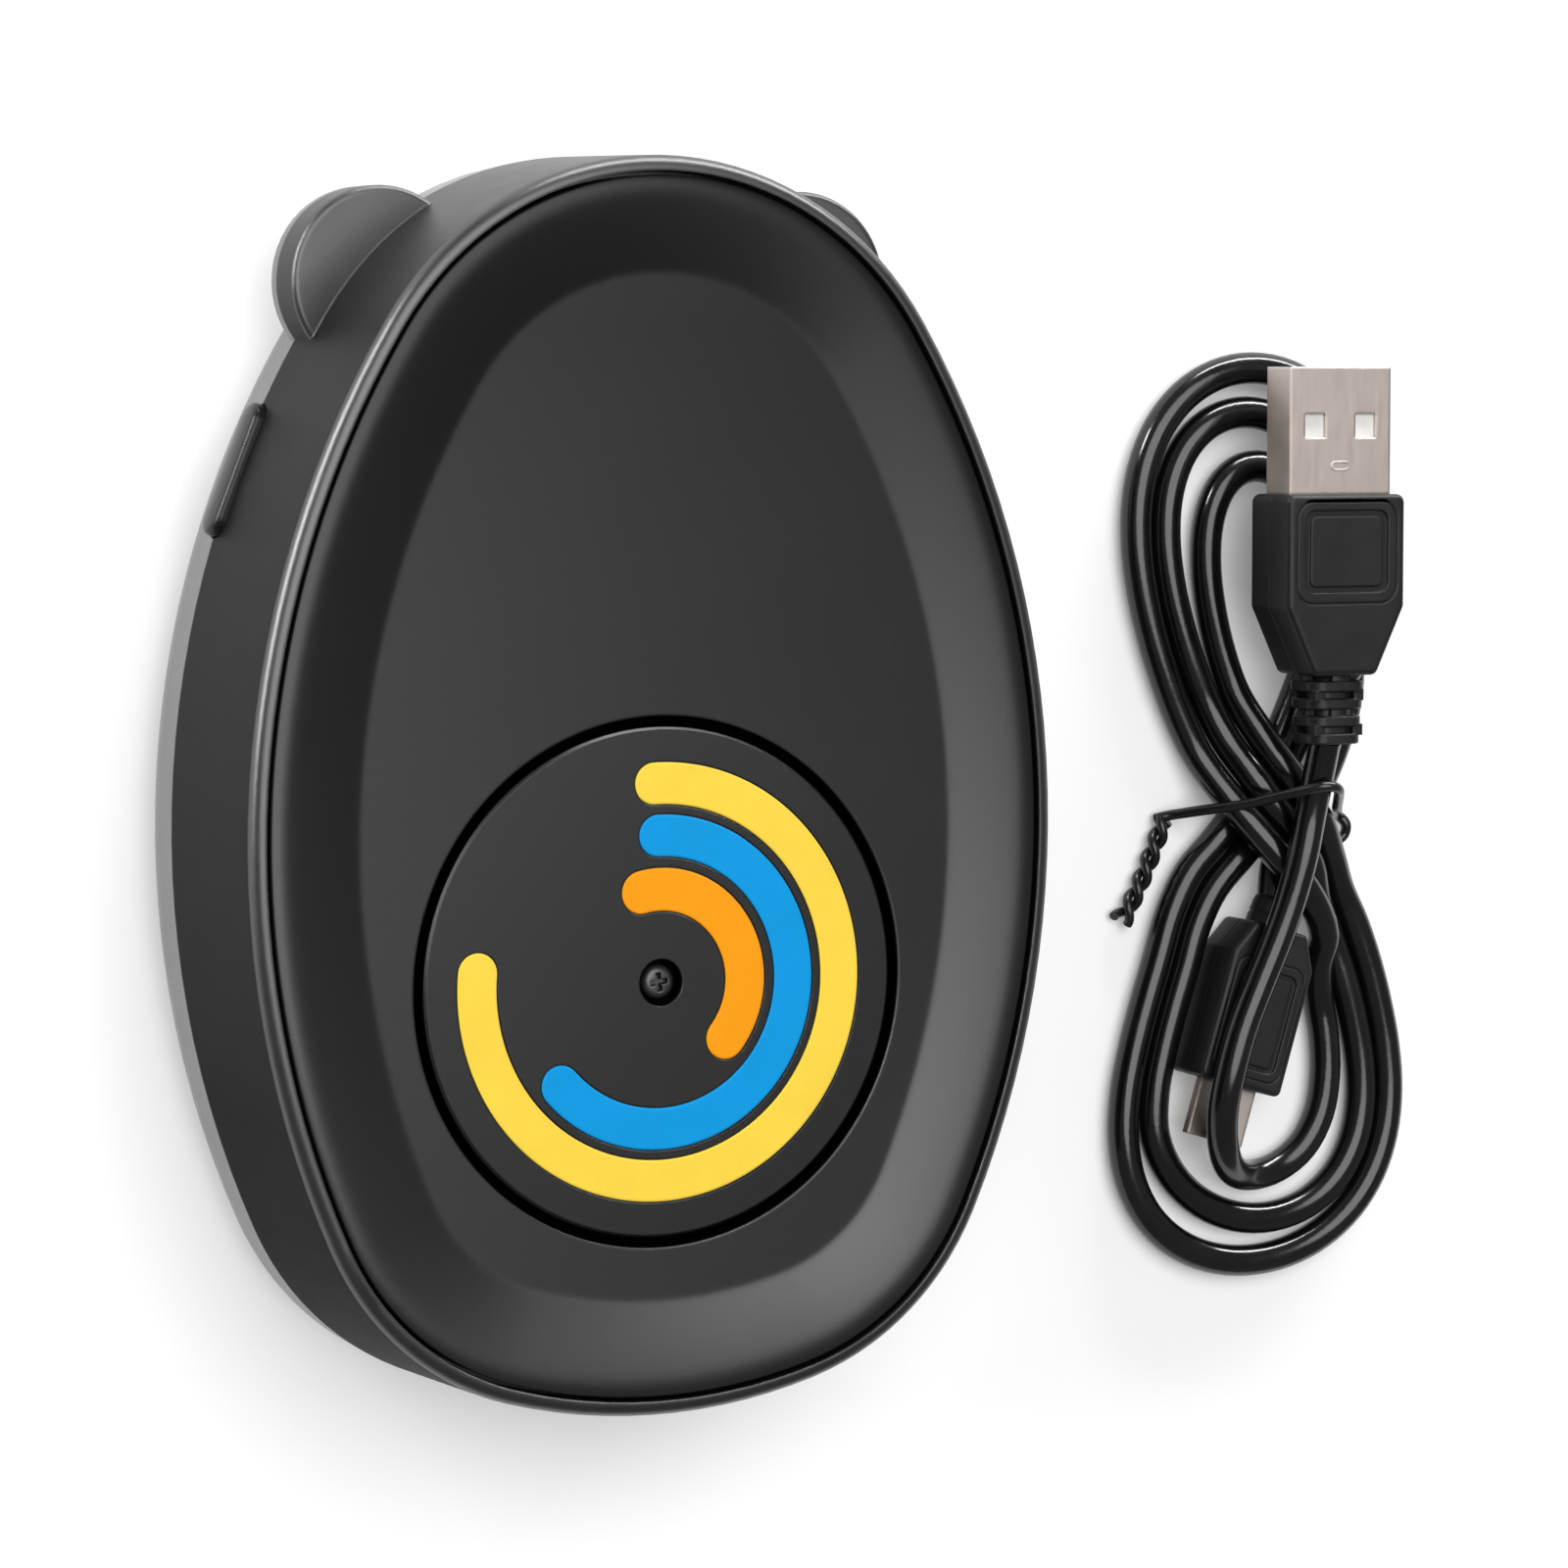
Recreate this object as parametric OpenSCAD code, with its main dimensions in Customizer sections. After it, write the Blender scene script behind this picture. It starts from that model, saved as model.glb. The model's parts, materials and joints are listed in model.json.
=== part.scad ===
// Turntable device that keeps a pointer moving: egg-shaped case with two flat
// ears, a slow printed disc in the middle of a shallow dish, a side button and
// a small USB inlet, with its geared motor and board, and its supply lead laid
// beside it in a tied figure-eight hank.
// Millimetres. Origin: under the middle of the case, on the surface its feet
// stand on. +X to the right, +Y towards the ears, +Z out of the face.

/* [Case outline] */
// size of the triangles that join the arcs' centres; sets the length
egg_k = 0.2655; // [0.234:0.0045:0.297]
// radius of the long side arcs of the seam line; sets the width
side_r = 89.39; // [80:0.01:110]
// distance from the chin centre to the disc centre
disc_up = 8.5; // [5:0.1:14]
// how far the chin's two corners stand apart; flattens the chin
chin_flat = 0.0434; // [0.014:0.007:0.07]

/* [Case heights] */
// height of the feet under the case
foot_h = 1; // [0.5:0.1:2]
// height of the joint between rear cover and frame
part_z = 10.6; // [8:0.1:12]
// height of the flat face inside the dish
face_z = 29; // [27:0.5:34]
// height of the rim over the flat face
dish_h = 1.2; // [0.6:0.1:2]
// wall of the shells at the joint
wall = 1.9; // [1.5:0.1:2.5]
// gap of the seam between panel and frame
seam = 0.4; // [0.2:0.05:0.6]
// width of the sloping band of the dish
band_w = 8.6; // [6:0.1:12]

/* [Turntable] */
// radius of the disc
disc_r = 24.05; // [20:0.05:26]
// radius of the well the disc turns in
well_r = 25; // [21:0.1:27]
// thickness of the disc
disc_t = 2.3; // [1.5:0.1:3]
// depth of the printed stripes
print_t = 0.2; // [0.1:0.05:0.4]

/* [Ears] */
// radius of an ear
ear_r = 9; // [7:0.05:11]
// distance of an ear's centre from the middle line
ear_x = 21.9; // [18:0.1:28]
// distance of the ears' centre from the head centre
ear_up = 20.7; // [16:0.1:26]
// height of the ears' front face
ear_z = 14.7; // [12:0.1:20]

/* [Button and inlet] */
// direction of the button seen from the side arc's centre, degrees
btn_a = 158.1; // [150:0.1:175]
// length of the button
btn_l = 13.2; // [9:0.1:18]
// height of the button
btn_h = 3.8; // [3:0.1:5]
// how far the button stands out
btn_out = 1; // [0.5:0.1:2]
// how far right of the middle line the inlet sits
usb_x = -5; // [-8:0.5:8]

/* [Motor] */
// radius of the motor can
can_r = 14; // [12:0.5:15]
// distance from the motor's middle to its shaft
shaft_off = 8; // [6:0.5:9]
// height of the motor's top face
motor_z = 22.6; // [20:0.1:24]
// gear module
gear_m = 0.3; // [0.25:0.05:0.4]

/* [Supply lead] */
// middle of the hank, to the right
hank_x = 82; // [70:1:110]
// middle of the hank, along the case
hank_y = -5; // [-20:1:20]
// length of the hank
hank_l = 98; // [80:1:120]
// width of the hank
hank_w = 35; // [28:1:42]
// thickness of the hank
hank_t = 7.2; // [6:0.1:12]
// diameter of the cord
cord_d = 3.3; // [3:0.1:4]

/* [Hidden] */
$fn = 96;
e = 0.01;

// The outline is six arcs that run into each other: head, two long sides, two
// corners and the chin between them. Their centres are corners of right
// triangles, 28:45:53 at the head, 84:187:205 at the corners and 7:24:25 at the
// chin, so that the arcs meet exactly.
egg_m = egg_k * 187 / 45;
side_c = 187 * egg_k;
chin_r = side_r - 205 * egg_k;
head_r = side_r - 53 * egg_m;
pitch = 84 * egg_k + 28 * egg_m;
chin_y = -(pitch + head_r - chin_r) / 2;
head_y = chin_y + pitch;
disc_y = round((chin_y + disc_up) * 100) / 100;
side_y = chin_y + 84 * egg_k;
a_lo = atan2(-84, 187);
a_hi = atan2(28, 45);
a_bot = atan2(-24, 7);
corner_x = 187 * chin_flat;
corner_y = chin_y - 84 * chin_flat;
corner_rad = chin_r - 205 * chin_flat;
bot_m = corner_x / 7;
bot_y = corner_y + 24 * bot_m;
bot_r = corner_rad + 25 * bot_m;
corner_far = [corner_x + 74.8, corner_y - 33.6];
bot_far = [22.4, bot_y - 76.8];
head_far = [72, head_y + 44.8];
// puts the origin under the middle of the case
shift_y = -(head_y + head_r + bot_y - bot_r) / 2;

floor_t = 1.6;
corner_r = 5.5;
rim_z = face_z + dish_h;
fillet_r = 1.3;
panel_z = face_z - 2;
well_z = face_z - 3.1;
well_t = 1.6;
motor_y = disc_y + shaft_off;
can_z = motor_z - 19;
idler_x = 4.472;
idler_y = motor_y - 4;
board_z = 3.4;
board_t = 1.2;
top_b = board_z + board_t;
btn_c = [side_c, side_y];
btn_z = part_z;

// a profile in (distance outside the seam line, height) carried round the egg
module sector(pts) { translate([0, 0, -20]) linear_extrude(80) polygon(pts); }
module around() {
  intersection() {
    translate([0, bot_y, 0]) rotate_extrude() translate([bot_r, 0]) children();
    sector([[corner_x, corner_y], bot_far, [-bot_far[0], bot_far[1]], [-corner_x, corner_y]]);
  }
  for (s = [1, -1]) intersection() {
    translate([s * corner_x, corner_y, 0]) rotate_extrude() translate([corner_rad, 0]) children();
    sector([[s * corner_x, corner_y], [s * corner_far[0], corner_far[1]], [s * bot_far[0], bot_far[1]]]);
  }
  for (s = [1, -1]) intersection() {
    translate([-s * side_c, side_y, 0]) rotate_extrude() translate([side_r, 0]) children();
    sector([[s * corner_x, corner_y], [s * corner_far[0], corner_far[1]], [s * head_far[0], head_far[1]], [0, head_y]]);
  }
  intersection() {
    translate([0, head_y, 0]) rotate_extrude() translate([head_r, 0]) children();
    sector([[0, head_y], head_far, [72, 150], [-72, 150], [-72, head_far[1]]]);
  }
}

// points along the egg, o outside the seam line
function arc_pts(cx, cy, r, a0, a1, n) =
  [for (i = [0:n - 1]) let (a = a0 + (a1 - a0) * i / n) [cx + r * cos(a), cy + r * sin(a)]];
function egg_pts(o) = concat(
  arc_pts(-corner_x, corner_y, corner_rad + o, 180 - a_lo, 180 - a_bot, 4),
  arc_pts(0, bot_y, bot_r + o, 180 - a_bot, 360 + a_bot, 4),
  arc_pts(corner_x, corner_y, corner_rad + o, 360 + a_bot, 360 + a_lo, 4),
  arc_pts(-side_c, side_y, side_r + o, a_lo, a_hi, 5),
  arc_pts(0, head_y, head_r + o, a_hi, 180 - a_hi, 8),
  arc_pts(side_c, side_y, side_r + o, 180 - a_hi, 180 - a_lo, 5));
// inner filling of an egg-shaped solid; the ring round it covers -12 and out
module core(z0, z1, o = -8) {
  translate([0, 0, z0]) linear_extrude(z1 - z0) polygon(egg_pts(o));
}
// positions given as [angle, distance outside the seam line]
function corner_at(a, o, s) = [s * (corner_x + (corner_rad + o) * cos(a)), corner_y + (corner_rad + o) * sin(a)];
function head_at(a, o) = [(head_r + o) * cos(a), head_y + (head_r + o) * sin(a)];
posts = [corner_at(-50, -5.6, 1), corner_at(-50, -5.6, -1), head_at(50, -5.6), head_at(130, -5.6)];
feet = [corner_at(-25, -10, 1), corner_at(-25, -10, -1), head_at(20, -10), head_at(160, -10)];
ears = [[-ear_x, head_y + ear_up], [ear_x, head_y + ear_up]];
board_fix = [[-19, 17], [19, 17]];

module tube(r0, r1, z0, z1) {
  translate([0, 0, z0]) difference() {
    cylinder(r = r0, h = z1 - z0);
    translate([0, 0, -1]) cylinder(r = r1, h = z1 - z0 + 2);
  }
}
module rod(r, z0, z1) { translate([0, 0, z0]) cylinder(r = r, h = z1 - z0); }
module box(x0, x1, y0, y1, z0, z1) { translate([x0, y0, z0]) cube([x1 - x0, y1 - y0, z1 - z0]); }

// button place: +X' points out of the wall, 0 on the seam line's side arc
module at_button() {
  translate([side_c + side_r * cos(btn_a), side_y + side_r * sin(btn_a), btn_z])
    rotate([0, 0, btn_a]) children();
}
module pill(x0, x1, l, h) {
  translate([x0, 0, 0]) rotate([90, 0, 90]) linear_extrude(x1 - x0) union() {
    square([l - h, h], center = true);
    translate([(l - h) / 2, 0]) circle(h / 2);
    translate([-(l - h) / 2, 0]) circle(h / 2);
  }
}
module button_slot() { at_button() pill(-4, 6, btn_l + 0.3, btn_h + 0.3); }

// ---- shells ----
module rear_outer() {
  around() union() {
    translate([-12, foot_h]) square([12 - 3.8, part_z - foot_h]);
    intersection() {
      translate([-3.8, foot_h + corner_r]) circle(corner_r);
      translate([-3.8, foot_h]) square([corner_r, corner_r]);
    }
    polygon([[-3.9, foot_h + corner_r], [corner_r - 3.8, foot_h + corner_r], [wall, part_z], [-3.9, part_z]]);
  }
  core(foot_h, part_z);
  for (p = ears) translate(p) rotate_extrude() union() {
    translate([0, part_z - 2]) square([ear_r - 0.9, 2]);
    translate([0, part_z - 1.1]) square([ear_r, 1.1]);
    translate([ear_r - 0.9, part_z - 1.1]) circle(0.9);
  }
}
module rear_inner() {
  around() union() {
    translate([-13, foot_h + floor_t]) square([13 - 3.8, 20]);
    intersection() {
      translate([-3.8, foot_h + corner_r]) circle(corner_r - floor_t);
      translate([-3.8, foot_h]) square([corner_r, corner_r]);
    }
    translate([-3.9, foot_h + corner_r]) square([3.9 + corner_r - 3.8 - floor_t, 20]);
  }
  core(foot_h + floor_t, part_z + 5);
}
module usb_slot() {
  translate([usb_x, 58, 5.9]) rotate([-90, 0, 0]) linear_extrude(8) union() {
    square([6.4, 3.2], center = true);
    square([8.2, 2], center = true);
    for (s = [-1, 1]) translate([s * 3.1, -0.6]) circle(1);
    for (s = [-1, 1]) translate([s * 3.1, 0.6]) circle(1);
  }
}
module rear_cover() {
  color([0.06, 0.06, 0.065]) difference() {
    union() {
      difference() { rear_outer(); rear_inner(); }
      // lip that guides the frame
      around() union() {
        translate([-0.95, part_z - 2]) square([1.2, 2]);
        translate([-0.95, part_z - 1]) square([0.8, 2.2]);
      }
      for (p = posts) translate(p) rod(3.4, foot_h + e, part_z - 0.1);
      for (p = board_fix) translate(p) rod(2.6, foot_h + e, board_z);
      translate([usb_x, 50, 0]) rod(2.2, foot_h + e, board_z);
    }
    for (p = posts) translate(p) {
      rod(2.3, foot_h - 1, foot_h + 2.2);
      rod(1.4, foot_h, part_z + 1);
    }
    for (p = board_fix) translate(p) rod(0.95, foot_h + 0.8, board_z + 1);
    for (p = feet) translate(p) rod(5.1, foot_h - 1, foot_h + 0.4);
    box(-15, 15, -10, 10, foot_h - 1, foot_h + 0.15);
    button_slot();
    // room for the button's flange behind the lip
    at_button() box(-3, -0.02, -8.6, 8.6, -3, 4);
    usb_slot();
    box(usb_x - 4.2, usb_x + 4.2, 52, 59.3, 4.4, part_z + 4);
  }
}

module frame_profile() {
  union() {
    polygon([[-12, part_z], [wall, part_z], [fillet_r + 0.17, rim_z - fillet_r], [0.17, rim_z - fillet_r], [0.17, rim_z], [-12, rim_z]]);
    intersection() {
      translate([0.17, rim_z - fillet_r]) circle(fillet_r);
      translate([0.16, rim_z - fillet_r]) square([2, 2]);
    }
  }
}
module ear_solid(r, z1, f) {
  rotate_extrude() union() {
    translate([0, part_z]) square([r, z1 - part_z - f]);
    translate([0, part_z]) square([r - f, z1 - part_z]);
    translate([r - f, z1 - f]) circle(f);
  }
}
module front_frame() {
  color([0.06, 0.06, 0.065]) difference() {
    union() {
      difference() {
        union() {
          around() frame_profile();
          for (p = ears) translate(p) ear_solid(ear_r, ear_z, 0.6);
        }
        for (p = ears) difference() {
          translate(p) rod(ear_r - 1.6, part_z - 1, ear_z - 1.8);
          around() translate([-12, part_z - 2]) square([12 + wall, 10]);
          core(part_z - 2, ear_z + 1);
        }
        around() translate([-13, part_z - 1]) square([13, 40]);
        core(part_z - 2, rim_z + 5);
      }
      // ledge the panel rests on
      around() translate([-2.2, panel_z - 1.6]) square([2.3, 1.6]);
      // screw tubes on their webs
      intersection() {
        for (i = [0:3]) translate(posts[i]) {
          rod(3, part_z + 0.05, 17.5);
          rotate([0, 0, i == 0 ? -50 : i == 1 ? 230 : i == 2 ? 50 : 130]) box(0, 5.7, -1, 1, part_z + 1.5, 17.5);
        }
        union() { around() translate([-13, part_z]) square([13.1, 30]); core(part_z, rim_z); }
      }
    }
    for (p = posts) translate(p) rod(1.4, part_z - 1, 20);
    button_slot();
  }
}

module top_panel() {
  color([0.055, 0.055, 0.06]) difference() {
    union() {
      around() polygon([[-12, panel_z], [-12, face_z], [-seam - band_w, face_z], [-seam - 0.9, rim_z - 0.05],
        [-seam - 0.35, rim_z - 0.05], [-seam, rim_z - 0.4], [-seam, panel_z]]);
      core(panel_z, face_z);
      translate([0, disc_y, 0]) rod(well_r + 1.6, well_z - well_t, panel_z + 0.5);
      for (p = posts) translate(p) rod(3, 17.6, panel_z + e);
      for (s = [-1, 1]) translate([17.5 * s, motor_y, 0]) rod(3.2, motor_z, well_z);
    }
    translate([0, disc_y, 0]) {
      rod(well_r, well_z, face_z + 1);
      rod(5.5, 10, face_z);
    }
    for (p = posts) translate(p) rod(1.05, 16, 25.5);
    for (s = [-1, 1]) translate([17.5 * s, motor_y, 0]) rod(1.2, motor_z - 1, motor_z + 2.6);
  }
}

// ---- turntable ----
module disc_solid() {
  translate([0, disc_y, 0]) {
    rotate_extrude() polygon([[0, face_z - disc_t], [disc_r, face_z - disc_t], [disc_r, face_z - 0.3], [disc_r - 0.3, face_z], [0, face_z]]);
    rod(4.8, motor_z + 1.75, face_z - disc_t + 0.2);
  }
}
// printed stripe: ring sector with round ends, angles of the end circles
module stripe(r0, r1, a0, a1) {
  w = r1 - r0;
  m = (r0 + r1) / 2;
  translate([0, disc_y, face_z - print_t]) union() {
    rotate([0, 0, a0]) rotate_extrude(angle = a1 - a0) translate([r0, 0]) square([w, print_t]);
    for (a = [a0, a1]) translate([m * cos(a), m * sin(a), 0]) cylinder(r = w / 2 - 0.03, h = print_t);
  }
}
module stripe_outer() { color([1, 0.75, 0.1]) stripe(16.6, 20.8, 175, 452); }
module stripe_middle() { color([0, 0.4, 0.8]) stripe(11.7, 15.9, 222, 451); }
module stripe_inner() { color([1, 0.45, 0.02]) stripe(6.6, 10.9, -39.5, 103); }
module turntable_disc() {
  color([0.055, 0.055, 0.06]) difference() {
    disc_solid();
    stripe_outer();
    stripe_middle();
    stripe_inner();
    translate([0, disc_y, 0]) {
      rod(2.25, face_z - 1.3, face_z + 1);
      rod(1.15, 26, face_z);
      intersection() {
        rod(2.52, 20, 27.2);
        box(-4, 4, -1.52, 1.52, 20, 27.2);
      }
    }
  }
}
module cross_recess(z, r, d) {
  for (a = [0, 90]) rotate([0, 0, a + 45]) box(-r, r, -0.22, 0.22, z - d, z + 1);
}
module centre_screw() {
  color([0.2, 0.2, 0.21]) translate([0, disc_y, 0]) difference() {
    union() {
      rod(0.98, 22.9, face_z - 1.3);
      rotate_extrude() polygon([[0, face_z - 1.3], [1.6, face_z - 1.3], [1.6, face_z - 0.8], [1.2, face_z - 0.35], [0, face_z - 0.35]]);
    }
    cross_recess(face_z - 0.35, 1, 0.6);
  }
}
module output_shaft() {
  color([0.75, 0.75, 0.76]) translate([0, disc_y, 0]) difference() {
    union() {
      rod(1, 14.3, 18.4);
      rod(2.5, 18.4, motor_z + 1.6);
      intersection() {
        rod(2.5, motor_z + 1.5, 27.1);
        box(-4, 4, -1.5, 1.5, motor_z, 28);
      }
    }
    rod(1, 22.7, 28);
  }
}

// ---- button ----
module side_button() {
  color([0.07, 0.07, 0.075]) at_button() {
    pill(-1, wall + btn_out - 0.3, btn_l, btn_h);
    pill(wall + btn_out - 0.4, wall + btn_out, btn_l - 0.6, btn_h - 0.6);
    box(-1.7, -0.7, -7.4, 7.4, -2.6, 2.6);
  }
}
module switch_plunger() {
  color([0.75, 0.1, 0.08]) at_button() translate([-4.5, 0, 0]) rotate([0, 90, 0]) cylinder(r = 1.6, h = 2.8);
}
module side_switch() {
  color([0.1, 0.1, 0.11]) at_button() difference() {
    box(-6.4, -2.8, -3.2, 3.2, top_b - btn_z, 2.4);
    translate([-5.3, 0, 0]) rotate([0, 90, 0]) cylinder(r = 1.7, h = 4);
  }
}

// ---- motor ----
function tooth_ring(n, rr, rt, hr, ht, ph) =
  [for (i = [0:n - 1]) for (k = [0:3]) let (a = ph + 360 / n * i + [-hr, -ht, ht, hr][k], r = [rr, rt, rt, rr][k]) [r * cos(a), r * sin(a)]];
module wheel30(z0, z1, ph) {
  translate([0, 0, z0]) linear_extrude(z1 - z0)
    polygon(tooth_ring(30, gear_m * 13.67, gear_m * 15.8, 3.4, 1, ph));
}
module pinion10(z0, z1, ph) {
  translate([0, 0, z0]) linear_extrude(z1 - z0)
    polygon(tooth_ring(10, gear_m * 3.73, gear_m * 5.73, 9.5, 3, ph));
}
// line from the motor's middle to the idler, and from the idler to the shaft
mesh_a = atan2(-4, idler_x);
mesh_b = atan2(disc_y - idler_y, -idler_x);

module motor_can() {
  color([0.72, 0.72, 0.73]) translate([0, motor_y, 0]) difference() {
    rod(can_r, can_z, motor_z - 0.8);
    rod(can_r - 0.6, can_z + 0.6, motor_z);
    rod(1.2, can_z - 1, can_z + 2);
    box(-6, 6, can_r - 3, can_r + 2, 6.5, 12.5);
  }
}
module motor_top() {
  color([0.72, 0.72, 0.73]) difference() {
    union() {
      translate([0, motor_y, 0]) {
        rod(can_r, motor_z - 0.8, motor_z);
        box(-17.5, 17.5, -3.5, 3.5, motor_z - 0.8, motor_z);
        for (s = [-1, 1]) translate([17.5 * s, 0, 0]) rod(3.5, motor_z - 0.8, motor_z);
      }
      translate([0, disc_y, 0]) rod(4.5, motor_z - 0.8, motor_z + 1.5);
    }
    translate([0, disc_y, 0]) rod(2.55, 20, 28);
    for (s = [-1, 1]) translate([17.5 * s, motor_y, 0]) rod(2.1, 20, 28);
    translate([0, motor_y, 0]) rod(0.8, 20, motor_z - 0.4);
    translate([idler_x, idler_y, 0]) rod(0.6, 20, motor_z - 0.4);
  }
}
module gearbox_plate() {
  color([0.8, 0.78, 0.7]) difference() {
    translate([0, motor_y, 0]) rod(can_r - 0.62, 14.2, 15);
    translate([0, motor_y, 0]) rod(2.2, 13, 16);
    translate([0, disc_y, 0]) rod(1.05, 13, 16);
    translate([idler_x, idler_y, 0]) rod(0.6, 13, 16);
  }
}
module stator_yoke() {
  color([0.6, 0.6, 0.62]) translate([0, motor_y, 0]) {
    tube(13.38, 12.75, 4.25, 14.15);
    for (z = [4.25, 9.0, 13.65]) tube(12.9, 5.1, z, z + 0.5);
    tube(5.6, 5.1, 4.25, 14.15);
  }
}
module stator_coils() {
  color([0.72, 0.4, 0.2]) translate([0, motor_y, 0]) {
    tube(12.3, 5.62, 4.8, 8.95);
    tube(12.3, 5.62, 9.55, 13.6);
  }
}
module rotor() {
  color([0.25, 0.25, 0.27]) translate([0, motor_y, 0]) {
    rod(0.75, can_z + 0.8, motor_z - 0.45);
    rod(4.8, 4.9, 13.6);
    rod(1.6, 13.5, 15.7);
    pinion10(15.6, 18.1, mesh_a);
  }
}
module idler_pin() {
  color([0.8, 0.8, 0.82]) translate([idler_x, idler_y, 0]) rod(0.59, 14.25, motor_z - 0.42);
}
module idler_gear() {
  color([0.9, 0.88, 0.8]) translate([idler_x, idler_y, 0]) difference() {
    union() {
      wheel30(16, 17.8, mesh_a + 180 + 6);
      pinion10(17.7, 21, mesh_b);
      rod(1.05, 15.3, 16.1);
    }
    rod(0.64, 10, 25);
  }
}
module output_gear() {
  color([0.9, 0.88, 0.8]) translate([0, disc_y, 0]) difference() {
    wheel30(18.6, 20.8, mesh_b + 180 + 6);
    rod(2.5, 10, 25);
  }
}
module terminal_box() {
  color([0.1, 0.25, 0.6]) translate([0, motor_y, 0]) difference() {
    box(-7.3, 7.3, can_r - 2, can_r + 3, 5, 14.5);
    rod(can_r + 0.02, 0, 30);
  }
}
module motor_leads() {
  color([0.7, 0.12, 0.1]) for (i = [-2:2])
    translate([i * 1.5, motor_y + can_r + 3, 8.6]) rotate([-90, 0, 0]) cylinder(r = 0.6, h = 5.07);
}
module lead_plug() {
  color([0.93, 0.92, 0.88]) box(-4.4, 4.4, 14, 18.2, 7.2, 10.2);
}
module lead_header() {
  color([0.93, 0.92, 0.88]) difference() {
    box(-5, 5, 13.4, 18.8, top_b, 8.4);
    box(-4.42, 4.42, 13.98, 18.22, 7.18, 12);
    box(-4.4, 4.4, 13, 14, 7.18, 12);
  }
}

// ---- board ----
module main_board() {
  color([0.05, 0.28, 0.12]) difference() {
    intersection() {
      translate([0, 0, board_z]) linear_extrude(board_t) polygon(egg_pts(-3));
      box(-60, 60, 12, 55.4, 0, 20);
    }
    for (p = posts) translate(p) rod(4, 0, 20);
    for (p = board_fix) translate(p) rod(1.15, 0, 20);
  }
}
module inlet_shell() {
  color([0.75, 0.75, 0.76]) difference() {
    box(usb_x - 3.75, usb_x + 3.75, 53.2, 58.9, top_b, 7.2);
    box(usb_x - 3.45, usb_x + 3.45, 53.6, 60, top_b + 0.3, 6.9);
  }
}
module inlet_tongue() {
  color([0.1, 0.1, 0.1]) union() {
    box(usb_x - 3.45, usb_x + 3.45, 53.6, 54.4, top_b + 0.3, 6.9);
    box(usb_x - 1.9, usb_x + 1.9, 54.3, 58.3, 6.05, 6.6);
  }
}
module control_chip() {
  color([0.08, 0.08, 0.08]) union() {
    box(8, 13, 34, 38, top_b + 0.1, 6.1);
    for (s = [0, 1]) for (i = [0:3]) box(8.4 + 1.27 * i, 8.8 + 1.27 * i, 33 + 5 * s, 34.2 + 4.8 * s, top_b, top_b + 0.4);
  }
}
module driver_chip() {
  color([0.08, 0.08, 0.08]) union() {
    box(-5, 5, 24.5, 28.5, top_b + 0.1, 6.3);
    for (s = [0, 1]) for (i = [0:7]) box(-4.6 + 1.27 * i, -4.2 + 1.27 * i, 23.4 + 5 * s, 24.7 + 4.8 * s, top_b, top_b + 0.4);
  }
}
module capacitor() {
  color([0.12, 0.14, 0.3]) translate([-8, 36, 0]) union() {
    rod(3.1, top_b, 12);
    rod(2.7, 11.9, 12.4);
  }
}

// ---- fasteners and trim ----
module pan_screw(r, zh, hh, rs, l) {
  // head underside at zh, pointing up
  difference() {
    union() {
      translate([0, 0, zh - hh]) cylinder(r = r, h = hh);
      translate([0, 0, zh - e]) cylinder(r = rs, h = l);
    }
    for (a = [0, 90]) rotate([0, 0, a]) box(-r * 0.6, r * 0.6, -0.3, 0.3, zh - hh - 1, zh - hh + 0.9);
  }
}
module case_screws() {
  color([0.6, 0.6, 0.62]) for (p = posts) translate(p) pan_screw(2.1, foot_h + 2.2, 1.5, 1.02, 21.5);
}
module motor_screws() {
  color([0.6, 0.6, 0.62]) for (s = [-1, 1]) translate([17.5 * s, motor_y, 0]) pan_screw(2.8, motor_z - 0.8, 1.7, 1.18, 3.2);
}
module board_screws() {
  color([0.6, 0.6, 0.62]) for (p = board_fix) translate(p) difference() {
    union() {
      rod(1.8, top_b, top_b + 1.2);
      rod(0.93, foot_h + 1, top_b + 0.1);
    }
    for (a = [0, 90]) rotate([0, 0, a]) box(-1.1, 1.1, -0.25, 0.25, top_b + 0.5, top_b + 2);
  }
}
module rubber_feet() {
  color([0.12, 0.12, 0.12]) for (p = feet) translate(p)
    rotate_extrude() polygon([[0, 0], [4.6, 0], [5, 0.4], [5, foot_h + 0.4], [0, foot_h + 0.4]]);
}
module blank_label() {
  color([0.75, 0.75, 0.74]) box(-14.9, 14.9, -9.9, 9.9, foot_h + 0.03, foot_h + 0.15);
}

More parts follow.
